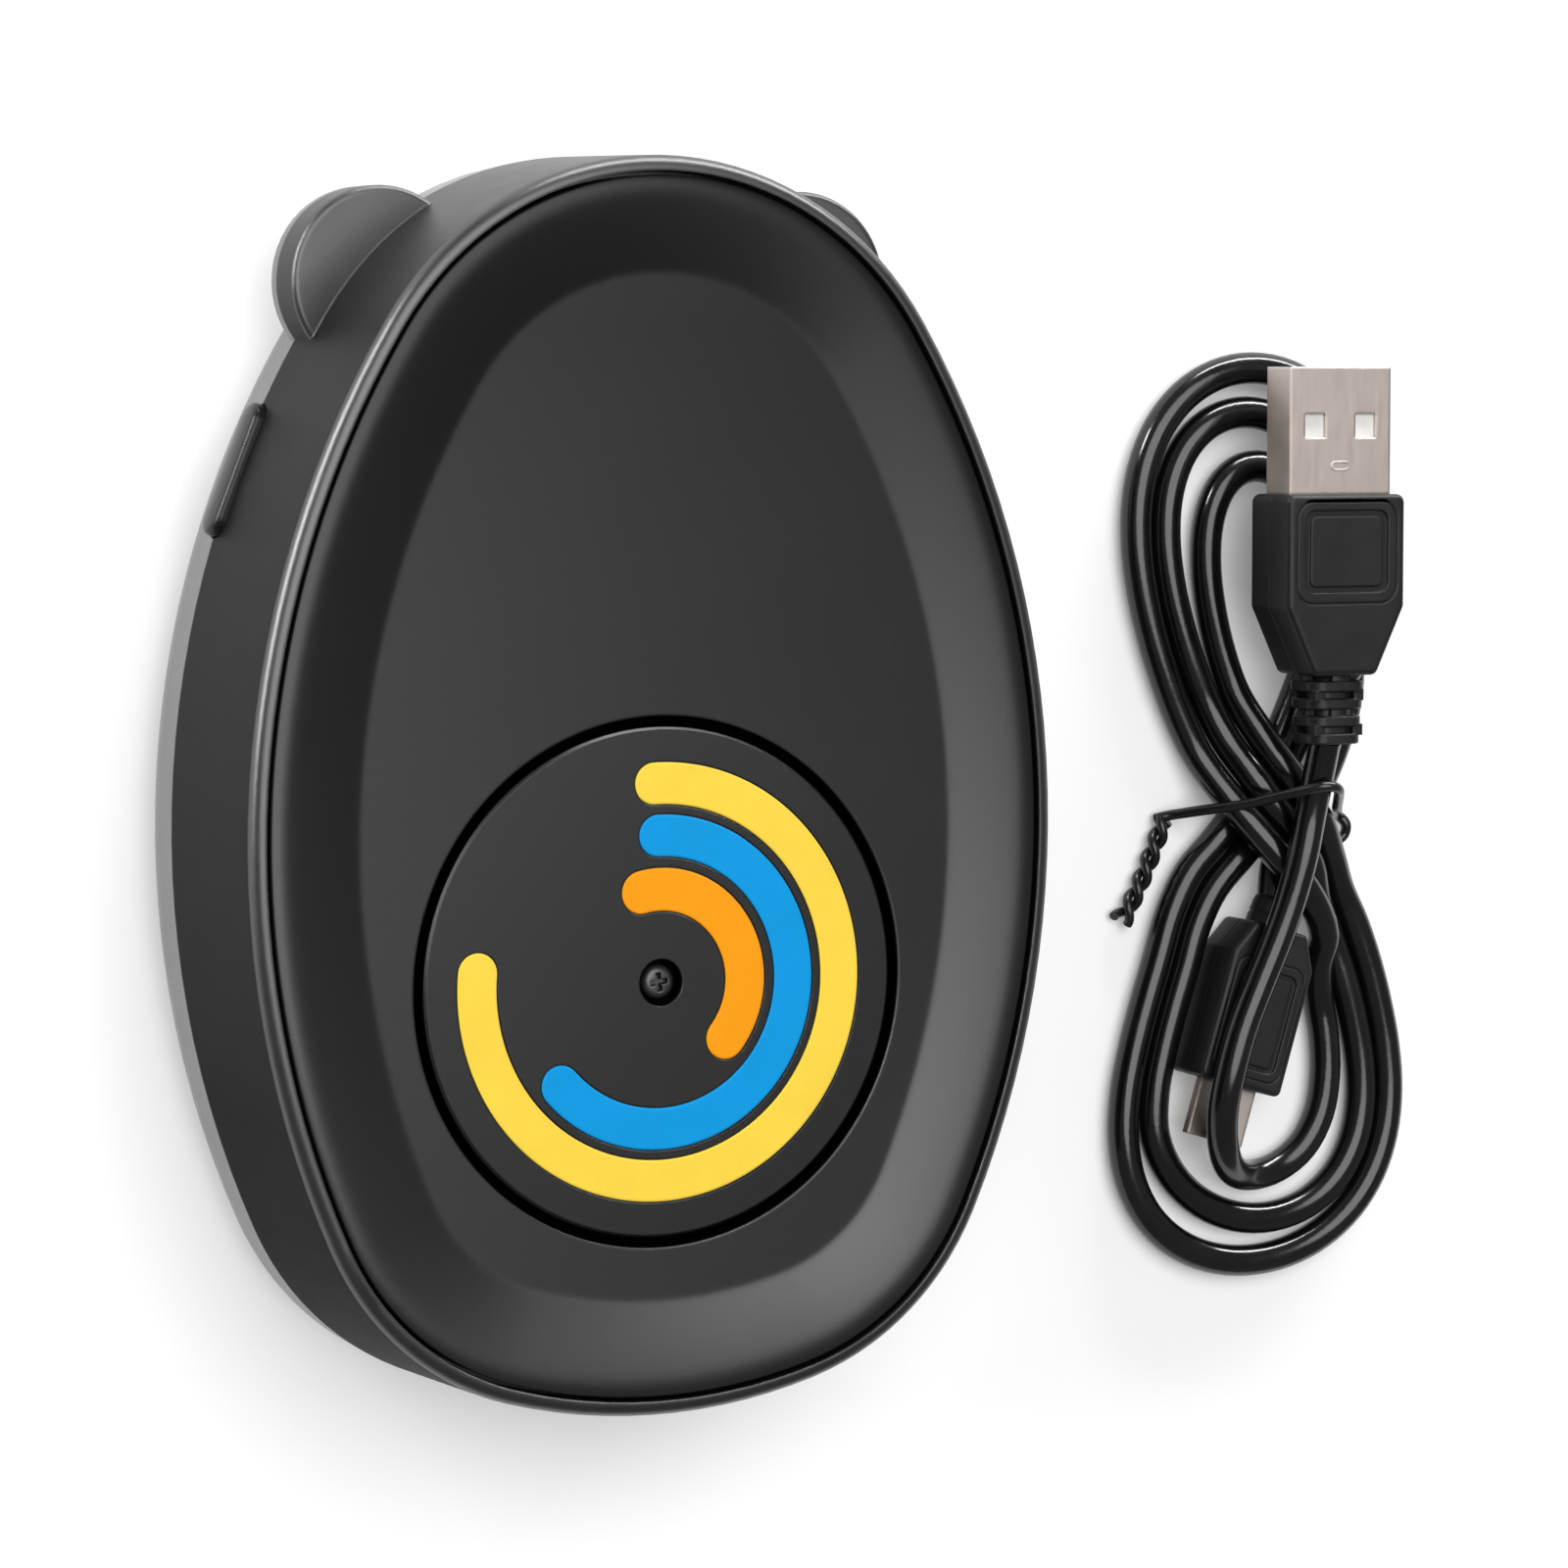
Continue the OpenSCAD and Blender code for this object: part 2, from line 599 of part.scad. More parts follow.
// ---- supply lead ----
plug_z = hank_t + 3.9;
grip_y = hank_y + 15.5;
module at_usb_a() { translate([hank_x + 2, grip_y, plug_z]) children(); }
module usb_a_shell() {
  color([0.78, 0.78, 0.77]) at_usb_a() difference() {
    box(-6, 6, 18, 31, -2.25, 2.25);
    box(-5.7, 5.7, 19, 32, -1.95, 1.95);
    for (s = [-1, 1]) box(s * 3 - 1.2, s * 3 + 1.2, 23.8, 26.2, -4, 4);
  }
}
module usb_a_tongue() {
  color([0.9, 0.9, 0.88]) at_usb_a() box(-5.65, 5.65, 19, 30.4, -0.1, 1.9);
}
module usb_a_grip() {
  color([0.06, 0.06, 0.065]) at_usb_a() union() {
    difference() {
      translate([0, 0, -3.8]) linear_extrude(7.6)
        polygon([[-7, 18], [7, 18], [7, 6.5], [3.7, -0.5], [-3.7, -0.5], [-7, 6.5]]);
      box(-4.9, 4.9, 8, 16.4, 3.5, 5);
    }
    box(-4.3, 4.3, 8.6, 15.8, 3.4, 3.7);
    rotate([90, 0, 0]) cylinder(r = 2.3, h = 7.5);
    for (i = [0:3]) box(-3.3, 3.3, -2.2 - 1.8 * i, -1.1 - 1.8 * i, -2.9, 2.9);
  }
}
micro_a = -17;
module at_micro() { translate([hank_x - 0.6, hank_y - 11.5, 3.9]) rotate([0, 0, micro_a]) children(); }
module micro_grip() {
  color([0.06, 0.06, 0.065]) at_micro() union() {
    difference() {
      translate([0, 0, -3.3]) linear_extrude(6.6)
        polygon([[-5, -17], [5, -17], [5, -3.5], [3.2, 0], [-3.2, 0], [-5, -3.5]]);
      box(-3.4, 3.4, -15, -4.6, 3, 5);
    }
    box(-2.9, 2.9, -14.5, -5.1, 2.9, 3.2);
    rotate([-90, 0, 0]) cylinder(r = 2.1, h = 3);
  }
}
module micro_shell() {
  color([0.78, 0.78, 0.77]) at_micro() difference() {
    translate([0, -17, 0]) rotate([90, 0, 0]) linear_extrude(6)
      polygon([[-3.4, 0.9], [3.4, 0.9], [3.4, -0.1], [2.6, -0.9], [-2.6, -0.9], [-3.4, -0.1]]);
    box(-3.1, 3.1, -24, -17.6, 0, 0.65);
  }
}
module cable_hank() {
  h = hank_l / 2 - hank_w / 2;
  color([0.05, 0.05, 0.055]) translate([0, 0, 0]) difference() {
    translate([hank_x, hank_y, 0]) linear_extrude(hank_t) union() {
      square([hank_w, 2 * h], center = true);
      for (s = [-1, 1]) translate([0, h * s]) circle(hank_w / 2);
    }
    at_micro() box(-5.4, 5.4, -24, 0.25, -10, 10);
    at_micro() box(-2.6, 2.6, 0, 3, -10, 10);
  }
}
// tail from the large plug down into the hank, swept along its route
tail_pts = [[84, 2.88, 11.1], [84, 0, 11], [84, -4, 10.6], [84, -8, 9.9],
  [83.6, -12, 9], [83, -15.6, 8.5]];
function vsub(a, b) = [a[0] - b[0], a[1] - b[1], a[2] - b[2]];
function unit(v) = v / norm(v);
function tail_dir(i) = i == 0 ? [0, -1, 0] :
  unit(vsub(tail_pts[min(i + 1, len(tail_pts) - 1)], tail_pts[i - 1]));
function ring_at(i) = let (d = tail_dir(i), u = unit(cross(d, [0, 0, 1])), w = cross(u, d))
  [for (k = [0:7]) tail_pts[i] + cord_d / 2 * (cos(45 * k) * u + sin(45 * k) * w)];
module cable_tail() {
  n = len(tail_pts);
  pts = [for (i = [0:n - 1]) for (p = ring_at(i)) p];
  faces = concat(
    [[for (k = [0:7]) k]],
    [for (i = [0:n - 2]) for (k = [0:7]) [8 * i + k, 8 * (i + 1) + k, 8 * (i + 1) + (k + 1) % 8]],
    [for (i = [0:n - 2]) for (k = [0:7]) [8 * i + k, 8 * (i + 1) + (k + 1) % 8, 8 * i + (k + 1) % 8]],
    [[for (k = [7:-1:0]) 8 * (n - 1) + k]]);
  color([0.05, 0.05, 0.055]) polyhedron(points = pts, faces = faces);
}
module twist_tie() {
  color([0.1, 0.1, 0.1]) translate([hank_x - hank_w / 2 - 0.9, hank_y, 0]) union() {
    box(0, 0.9, 0, 2, 0.3, hank_t + 0.9);
    box(0, 28, 0, 2, hank_t, hank_t + 0.9);
    box(-1.4, 0.1, -6, 2, 2.6, 4);
  }
}

module shifted() { translate([0, shift_y, 0]) children(); }
shifted() rear_cover();
shifted() front_frame();
shifted() top_panel();
shifted() turntable_disc();
shifted() stripe_outer();
shifted() stripe_middle();
shifted() stripe_inner();
shifted() centre_screw();
shifted() side_button();
shifted() switch_plunger();
shifted() side_switch();
shifted() motor_can();
shifted() motor_top();
shifted() gearbox_plate();
shifted() stator_yoke();
shifted() stator_coils();
shifted() rotor();
shifted() idler_gear();
shifted() idler_pin();
shifted() output_gear();
shifted() output_shaft();
shifted() terminal_box();
shifted() motor_leads();
shifted() lead_plug();
shifted() lead_header();
shifted() main_board();
shifted() inlet_shell();
shifted() inlet_tongue();
shifted() control_chip();
shifted() driver_chip();
shifted() capacitor();
shifted() case_screws();
shifted() motor_screws();
shifted() board_screws();
shifted() rubber_feet();
shifted() blank_label();
shifted() usb_a_shell();
shifted() usb_a_tongue();
shifted() usb_a_grip();
shifted() micro_shell();
shifted() micro_grip();
shifted() cable_tail();
shifted() cable_hank();
shifted() twist_tie();
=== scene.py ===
import json
import math
import bmesh
import bpy
import numpy as np
from mathutils import Matrix, Vector


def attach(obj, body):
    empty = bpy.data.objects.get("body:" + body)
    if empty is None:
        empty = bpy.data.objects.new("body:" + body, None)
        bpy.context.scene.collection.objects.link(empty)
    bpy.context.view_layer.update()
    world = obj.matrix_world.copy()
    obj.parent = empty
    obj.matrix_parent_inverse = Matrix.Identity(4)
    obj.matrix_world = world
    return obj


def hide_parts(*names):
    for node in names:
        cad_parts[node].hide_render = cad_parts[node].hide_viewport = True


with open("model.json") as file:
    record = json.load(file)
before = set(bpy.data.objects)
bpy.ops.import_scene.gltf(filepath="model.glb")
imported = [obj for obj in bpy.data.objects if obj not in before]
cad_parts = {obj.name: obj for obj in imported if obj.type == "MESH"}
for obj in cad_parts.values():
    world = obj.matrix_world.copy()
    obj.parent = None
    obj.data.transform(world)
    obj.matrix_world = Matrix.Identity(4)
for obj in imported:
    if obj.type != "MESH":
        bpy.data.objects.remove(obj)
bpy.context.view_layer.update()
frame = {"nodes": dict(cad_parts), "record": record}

MM = 0.001
SHIFT_Y = -2.046  # from the outline's own numbers to the frame, whose origin is under the case's middle
scene = bpy.context.scene
NODES = frame["nodes"]

# ------------------------------------------------------------------ camera
cam_data = bpy.data.cameras.new("camera")
cam_data.sensor_width = 36.0
cam_data.lens = 128.29
cam_data.clip_start = 0.01
cam_data.clip_end = 20.0
cam_data.dof.use_dof = False
camera = bpy.data.objects.new("camera", cam_data)
scene.collection.objects.link(camera)
camera.matrix_world = Matrix((
    (0.89562694, 0.03210415, -0.44364594, -0.2210935),
    (0.00072331, 0.99728551, 0.07362813, 0.038929),
    (0.44480544, -0.06626423, 0.89317254, 0.499957),
    (0.0, 0.0, 0.0, 1.0)))
scene.camera = camera


# ------------------------------------------------------------------ lead
CORD_R = 1.65
CORD_D = 3.3
HANK_X, HANK_Y = 82.0, -5.0
CROSS_Y = -3.4
MICRO_AT = np.array([-0.6, -11.5])
MICRO_A = math.radians(-17)


def smooth(t):
    t = np.clip(t, 0, 1)
    return t * t * (3 - 2 * t)


def lobe(a, b, al, v, side, cx):
    tau = np.radians(90 - 180 * v)
    x = b * np.sin(2 * tau) + cx * np.cos(tau) ** 2
    y = a * (al * np.cos(tau) + (1 - al) * np.cos(tau) ** 2)
    return np.stack([x, side * y + CROSS_Y], 1)


def leg(a, b, al, side, q, z, cx=0.0, fq=(0.46, 0.46), fz=(0.2, 0.2), n=34):
    """One loop of the hank: offsets and heights where it comes in, in its middle and where it goes out."""
    v = np.linspace(0, 1, n, endpoint=False)
    p = lobe(a, b, al, v, side, cx)
    t = lobe(a, b, al, v + 1e-4, side, cx) - p
    t /= np.linalg.norm(t, axis=1, keepdims=True)
    out = np.stack([t[:, 1], -t[:, 0]], 1) * (1 if side > 0 else -1)

    def mix(k, f):
        w = smooth(v / f[0]) * smooth((1 - v) / f[1])
        return np.where(v < 0.5, k[0], k[2]) * (1 - w) + k[1] * w

    p = p + out * mix(q, fq)[:, None]
    return np.concatenate([p, mix(z, fz)[:, None]], 1)


def hank_raw():
    low, mid, top = CORD_R + 0.05, CORD_R + CORD_D, CORD_R + 2 * CORD_D + 0.7
    qa, qb = [3.6, -3.5, 0.0, 3.2], [-4.6, -1.2, 2.2]
    mu, ml = [-9.0, -4.2, 0.0], [0.0, -4.2, -8.6]
    zu = [low, low + 3.4, low + 3.4]
    legs = []
    for k in range(3):
        legs.append(leg(50.2, 13.6, 0.97, 1, (qa[k], mu[k], qb[k]), (low, zu[k], mid), (-1.2, -2.6, -1.4)[k],
                        (0.36, 0.46) if k == 0 else (0.46, 0.46), (0.2, 0.2) if k == 0 else (0.12, 0.22)))
        legs.append(leg(43.6, 14.4, 1.0, -1, (-qb[k], ml[k], -qa[k + 1]), (mid, low, low if k < 2 else top),
                        (-1.3, 0.2, -0.9)[k], fz=(0.22, 0.22) if k < 2 else (0.22, 0.40)))
    return np.concatenate(legs)


def resample(p, step):
    s = np.concatenate([[0], np.cumsum(np.linalg.norm(np.diff(p, axis=0), axis=1))])
    t = np.linspace(0, s[-1], int(round(s[-1] / step)) + 1)
    return np.stack([np.interp(t, s, p[:, i]) for i in range(3)], 1)


def refine(p):
    q = np.empty((2 * len(p) - 1, 3))
    q[::2] = p
    a = np.concatenate([2 * p[:1] - p[1:2], p, 2 * p[-1:] - p[-2:-1]])
    q[1::2] = (-a[:-3] + 9 * a[1:-2] + 9 * a[2:-1] - a[3:]) / 16
    return q


def settle(p, held, rounds, weight):
    """Lets the line settle: strands push each other apart, the floor and the small plug push back, stiffness smooths."""
    n = len(p)
    idx = np.arange(n)
    seg = np.linalg.norm(np.diff(p, axis=0), axis=1).mean()
    gap = int(math.ceil(2.2 * CORD_D / seg))
    base = p.copy()
    far = np.abs(idx[:, None] - idx[None, :]) > gap
    late = idx > n * 0.885
    for _ in range(rounds):
        d = p[:, None, :] - p[None, :, :]
        r = np.linalg.norm(d, axis=2) + 1e-9
        near = far & (r < CORD_D * 1.02)
        push = np.where(near, (CORD_D * 1.02 - r) / r * 0.5, 0.0)
        move = (d * push[:, :, None]).sum(1) / np.maximum(near.sum(1), 1)[:, None] * 1.2
        lap = np.zeros_like(p)
        lap[2:-2] = (-p[:-4] + 4 * p[1:-3] - 6 * p[2:-2] + 4 * p[3:-1] - p[4:]) / 16
        move += lap * 0.9
        move[:, 2] -= weight
        move[:, :2] += (base[:, :2] - p[:, :2]) * 0.004
        move[held] = 0
        p = p + move
        p[:, 2] = np.maximum(p[:, 2], CORD_R + 0.08)
        ca, sa = math.cos(MICRO_A), math.sin(MICRO_A)
        for half, y0, y1, high in ((5.0, -17.0, 0.0, 7.2), (3.4, -23.0, -17.0, 4.8)):
            q = p[:, :2] - MICRO_AT
            lx, ly = q[:, 0] * ca + q[:, 1] * sa, -q[:, 0] * sa + q[:, 1] * ca
            inside = (np.abs(lx) < half + CORD_R) & (ly > y0 - CORD_R) & (ly < y1 + CORD_R) & (p[:, 2] < high + CORD_R) & ~held
            up, aside = inside & late, inside & ~late
            p[up, 2] += ((high + CORD_R - p[:, 2]) * 0.5)[up]
            sx = np.sign(lx) * (half + CORD_R - np.abs(lx)) * 0.5
            p[aside, 0] += (sx * ca)[aside]
            p[aside, 1] += (sx * sa)[aside]
    return p


def hank_line():
    u = np.array([-math.sin(MICRO_A), math.cos(MICRO_A)])
    p = hank_raw()
    head = np.array([[*(MICRO_AT + u * 2.6), 3.9], [*(MICRO_AT + u * 5.0), 3.6], [*(MICRO_AT + u * 8.0), 2.7]])
    end = np.array([[1.2, 2.2, 9.9], [1.8, 5.2, 10.8], [2.0, 8.05, 11.1]])
    k = int(np.argmin(np.linalg.norm(p[:30, :2] - (MICRO_AT + u * 16), axis=1)))
    p = resample(np.concatenate([head, p[k:], end]), 3.1)
    held = np.zeros(len(p), bool)
    held[:2] = held[-2:] = True
    p = settle(p, held, 400, 0.016)
    p = refine(p)
    held = np.zeros(len(p), bool)
    held[:3] = held[-3:] = True
    p = settle(p, held, 40, 0.004)
    p[:, 0] += HANK_X - 0.15
    p[:, 1] += HANK_Y + SHIFT_Y
    return p


def tube_curve(name, pts, radius, res=8, steps=4):
    """A smooth open curve through the points, in mm."""
    cu = bpy.data.curves.new(name, "CURVE")
    cu.dimensions = "3D"
    cu.resolution_u = steps
    cu.bevel_depth = radius * MM
    cu.bevel_resolution = res
    cu.use_fill_caps = True
    sp = cu.splines.new("BEZIER")
    sp.bezier_points.add(len(pts) - 1)
    pts = np.asarray(pts, float) * MM
    tang = np.gradient(pts, axis=0)
    for i, bp in enumerate(sp.bezier_points):
        span_l = np.linalg.norm(pts[i] - pts[max(i - 1, 0)])
        span_r = np.linalg.norm(pts[min(i + 1, len(pts) - 1)] - pts[i])
        t = tang[i] / np.linalg.norm(tang[i])
        bp.co = pts[i]
        bp.handle_left_type = bp.handle_right_type = "FREE"
        bp.handle_left = pts[i] - t * span_l / 3
        bp.handle_right = pts[i] + t * span_r / 3
    ob = bpy.data.objects.new(name, cu)
    scene.collection.objects.link(ob)
    return ob


line = hank_line()
keep = line[::3]
if (len(line) - 1) % 3:
    keep = np.concatenate([keep[:-1], line[-1:]])
cord = tube_curve("supply_cord", keep, CORD_R, 9, 4)


# ------------------------------------------------------------------ materials
def mat_new(name):
    m = bpy.data.materials.new(name)
    m.use_nodes = True
    nt = m.node_tree
    nt.nodes.clear()
    out = nt.nodes.new("ShaderNodeOutputMaterial")
    bsdf = nt.nodes.new("ShaderNodeBsdfPrincipled")
    nt.links.new(bsdf.outputs[0], out.inputs[0])
    return m, nt, bsdf


def noise(nt, coord, scale, detail=3.0, rough=0.55, stretch=None):
    n = nt.nodes.new("ShaderNodeTexNoise")
    n.inputs["Scale"].default_value = scale
    n.inputs["Detail"].default_value = detail
    n.inputs["Roughness"].default_value = rough
    if stretch:
        mp = nt.nodes.new("ShaderNodeMapping")
        mp.inputs["Scale"].default_value = stretch
        nt.links.new(coord, mp.inputs["Vector"])
        nt.links.new(mp.outputs[0], n.inputs["Vector"])
    else:
        nt.links.new(coord, n.inputs["Vector"])
    return n.outputs["Fac"]


def ranged(nt, value, lo, hi, f0=0.3, f1=0.7):
    r = nt.nodes.new("ShaderNodeMapRange")
    r.inputs["From Min"].default_value = f0
    r.inputs["From Max"].default_value = f1
    r.inputs["To Min"].default_value = lo
    r.inputs["To Max"].default_value = hi
    nt.links.new(value, r.inputs["Value"])
    return r.outputs["Result"]


def colour_mix(nt, fac, a, b):
    m = nt.nodes.new("ShaderNodeMix")
    m.data_type = "RGBA"
    if isinstance(fac, float):
        m.inputs[0].default_value = fac
    else:
        nt.links.new(fac, m.inputs[0])
    for sock, v in ((m.inputs[6], a), (m.inputs[7], b)):
        if isinstance(v, tuple):
            sock.default_value = (*v, 1.0)
        else:
            nt.links.new(v, sock)
    return m.outputs[2]


def edge_mask(nt, radius, gain):
    """How much the surface turns within the radius: 0 on flats, towards 1 on edges."""
    bev = nt.nodes.new("ShaderNodeBevel")
    bev.samples = 4
    bev.inputs["Radius"].default_value = radius
    geo = nt.nodes.new("ShaderNodeNewGeometry")
    dot = nt.nodes.new("ShaderNodeVectorMath")
    dot.operation = "DOT_PRODUCT"
    nt.links.new(bev.outputs[0], dot.inputs[0])
    nt.links.new(geo.outputs["Normal"], dot.inputs[1])
    m = nt.nodes.new("ShaderNodeMapRange")
    m.inputs["From Min"].default_value = 1.0
    m.inputs["From Max"].default_value = 0.8
    m.inputs["To Min"].default_value = 0.0
    m.inputs["To Max"].default_value = gain
    nt.links.new(dot.outputs["Value"], m.inputs["Value"])
    return bev, m.outputs["Result"]


def surface(name, col, rough, grain=(9000.0, 0.000012), spread=0.08, rough_var=0.05, metal=0.0, coat=0.0, spec=0.5,
            edge=0.0, edge_r=0.0003, wave=None, stretch=None, soft=True, cloud=220.0, rim=None, along=()):
    """A moulded, printed or plated surface: fine grain, slow colour and gloss variation, and edges painted paler,
    partly as wear and partly as painted highlight.
    """
    m, nt, bsdf = mat_new(name)
    tc = nt.nodes.new("ShaderNodeTexCoord")
    co = tc.outputs["Object"]
    slow = noise(nt, co, cloud, 3.0, 0.6, stretch)
    fine = noise(nt, co, grain[0], 2.0, 0.6, stretch)
    dark = tuple(c * (1 - spread) for c in col)
    light = tuple(min(1.0, c * (1 + spread)) for c in col)
    base = colour_mix(nt, ranged(nt, slow, 0.0, 1.0), dark, light)
    speck = colour_mix(nt, ranged(nt, fine, 0.0, 1.0), tuple(c * (1 - spread) for c in (1, 1, 1)), (1.0, 1.0, 1.0))
    mul = nt.nodes.new("ShaderNodeMix")
    mul.data_type = "RGBA"
    mul.blend_type = "MULTIPLY"
    mul.inputs[0].default_value = 1.0
    nt.links.new(base, mul.inputs[6])
    nt.links.new(speck, mul.inputs[7])
    base = mul.outputs[2]
    height = fine
    if wave:
        w = nt.nodes.new("ShaderNodeTexWave")
        w.bands_direction = wave[2]
        w.inputs["Scale"].default_value = wave[0]
        w.inputs["Distortion"].default_value = wave[1]
        nt.links.new(co, w.inputs["Vector"])
        add = nt.nodes.new("ShaderNodeMath")
        add.operation = "ADD"
        nt.links.new(w.outputs["Fac"], add.inputs[0])
        nt.links.new(fine, add.inputs[1])
        height = add.outputs[0]
    bump = nt.nodes.new("ShaderNodeBump")
    bump.inputs["Strength"].default_value = 1.0
    bump.inputs["Distance"].default_value = grain[1]
    nt.links.new(height, bump.inputs["Height"])
    r_sock = ranged(nt, slow, rough - rough_var, rough + rough_var)
    if soft:
        bev, mask = edge_mask(nt, edge_r, edge)
        nt.links.new(bev.outputs[0], bump.inputs["Normal"])
        # edges painted paler: partly wear, partly painted highlight along the rims
        if edge:
            worn_and_highlit_edge = tuple(min(1.0, c * 1.7 + 0.03) for c in col)
            base = colour_mix(nt, mask, base, worn_and_highlit_edge)
    nt.links.new(bump.outputs[0], bsdf.inputs["Normal"])
    nt.links.new(base, bsdf.inputs["Base Color"])
    nt.links.new(r_sock, bsdf.inputs["Roughness"])
    bsdf.inputs["Metallic"].default_value = metal
    bsdf.inputs["Specular IOR Level"].default_value = spec
    if rim:
        # surfaces that face up are polished finer than the steep walls
        z0, z1, spec_up, rough_up, z_back, spec_back, rough_back, painted_tint_below = rim
        sep = nt.nodes.new("ShaderNodeSeparateXYZ")
        face = nt.nodes.new("ShaderNodeNewGeometry")
        nt.links.new(face.outputs["Normal"], sep.inputs[0])
        # so is the whole rear cover, below the joint, whose colour is also lightened there as painted reflection; on
        # the panel and disc the same height mask instead dulls the surface and paints shade below the face
        place = nt.nodes.new("ShaderNodeSeparateXYZ")
        nt.links.new(co, place.inputs[0])

        def total(first, rest):
            for sock in rest:
                node = nt.nodes.new("ShaderNodeMath")
                node.operation = "ADD"
                nt.links.new(first, node.inputs[0])
                nt.links.new(sock, node.inputs[1])
                node.use_clamp = sock is rest[-1]
                first = node.outputs[0]
            return first

        up, back = sep.outputs["Z"], place.outputs["Z"]
        # and the moulding's gloss changes slowly along the case
        slope = [ranged(nt, place.outputs["Y"], 0.0, change, y0, y1) for y0, y1, change in along]
        nt.links.new(total(ranged(nt, up, spec, spec_up, z0, z1), [ranged(nt, back, spec_back - spec, 0.0, z_back, z_back + 0.0001)] + slope),
                     bsdf.inputs["Specular IOR Level"])
        # below z_back the colour is swapped for a painted tint: a lighter rear cover as painted reflection on the case,
        # near black as painted shade in the seam, well and disc groove on the panel and disc
        if painted_tint_below:
            base = colour_mix(nt, ranged(nt, back, 1.0, 0.0, z_back, z_back + 0.0001), base, painted_tint_below)
            nt.links.new(base, bsdf.inputs["Base Color"])
        nt.links.new(total(r_sock, [ranged(nt, up, 0.0, rough_up - rough, z0, z1), ranged(nt, back, rough_back - rough, 0.0, z_back, z_back + 0.0001)]),
                     bsdf.inputs["Roughness"])
    bsdf.inputs["Coat Weight"].default_value = coat
    bsdf.inputs["Coat Roughness"].default_value = 0.12
    return m


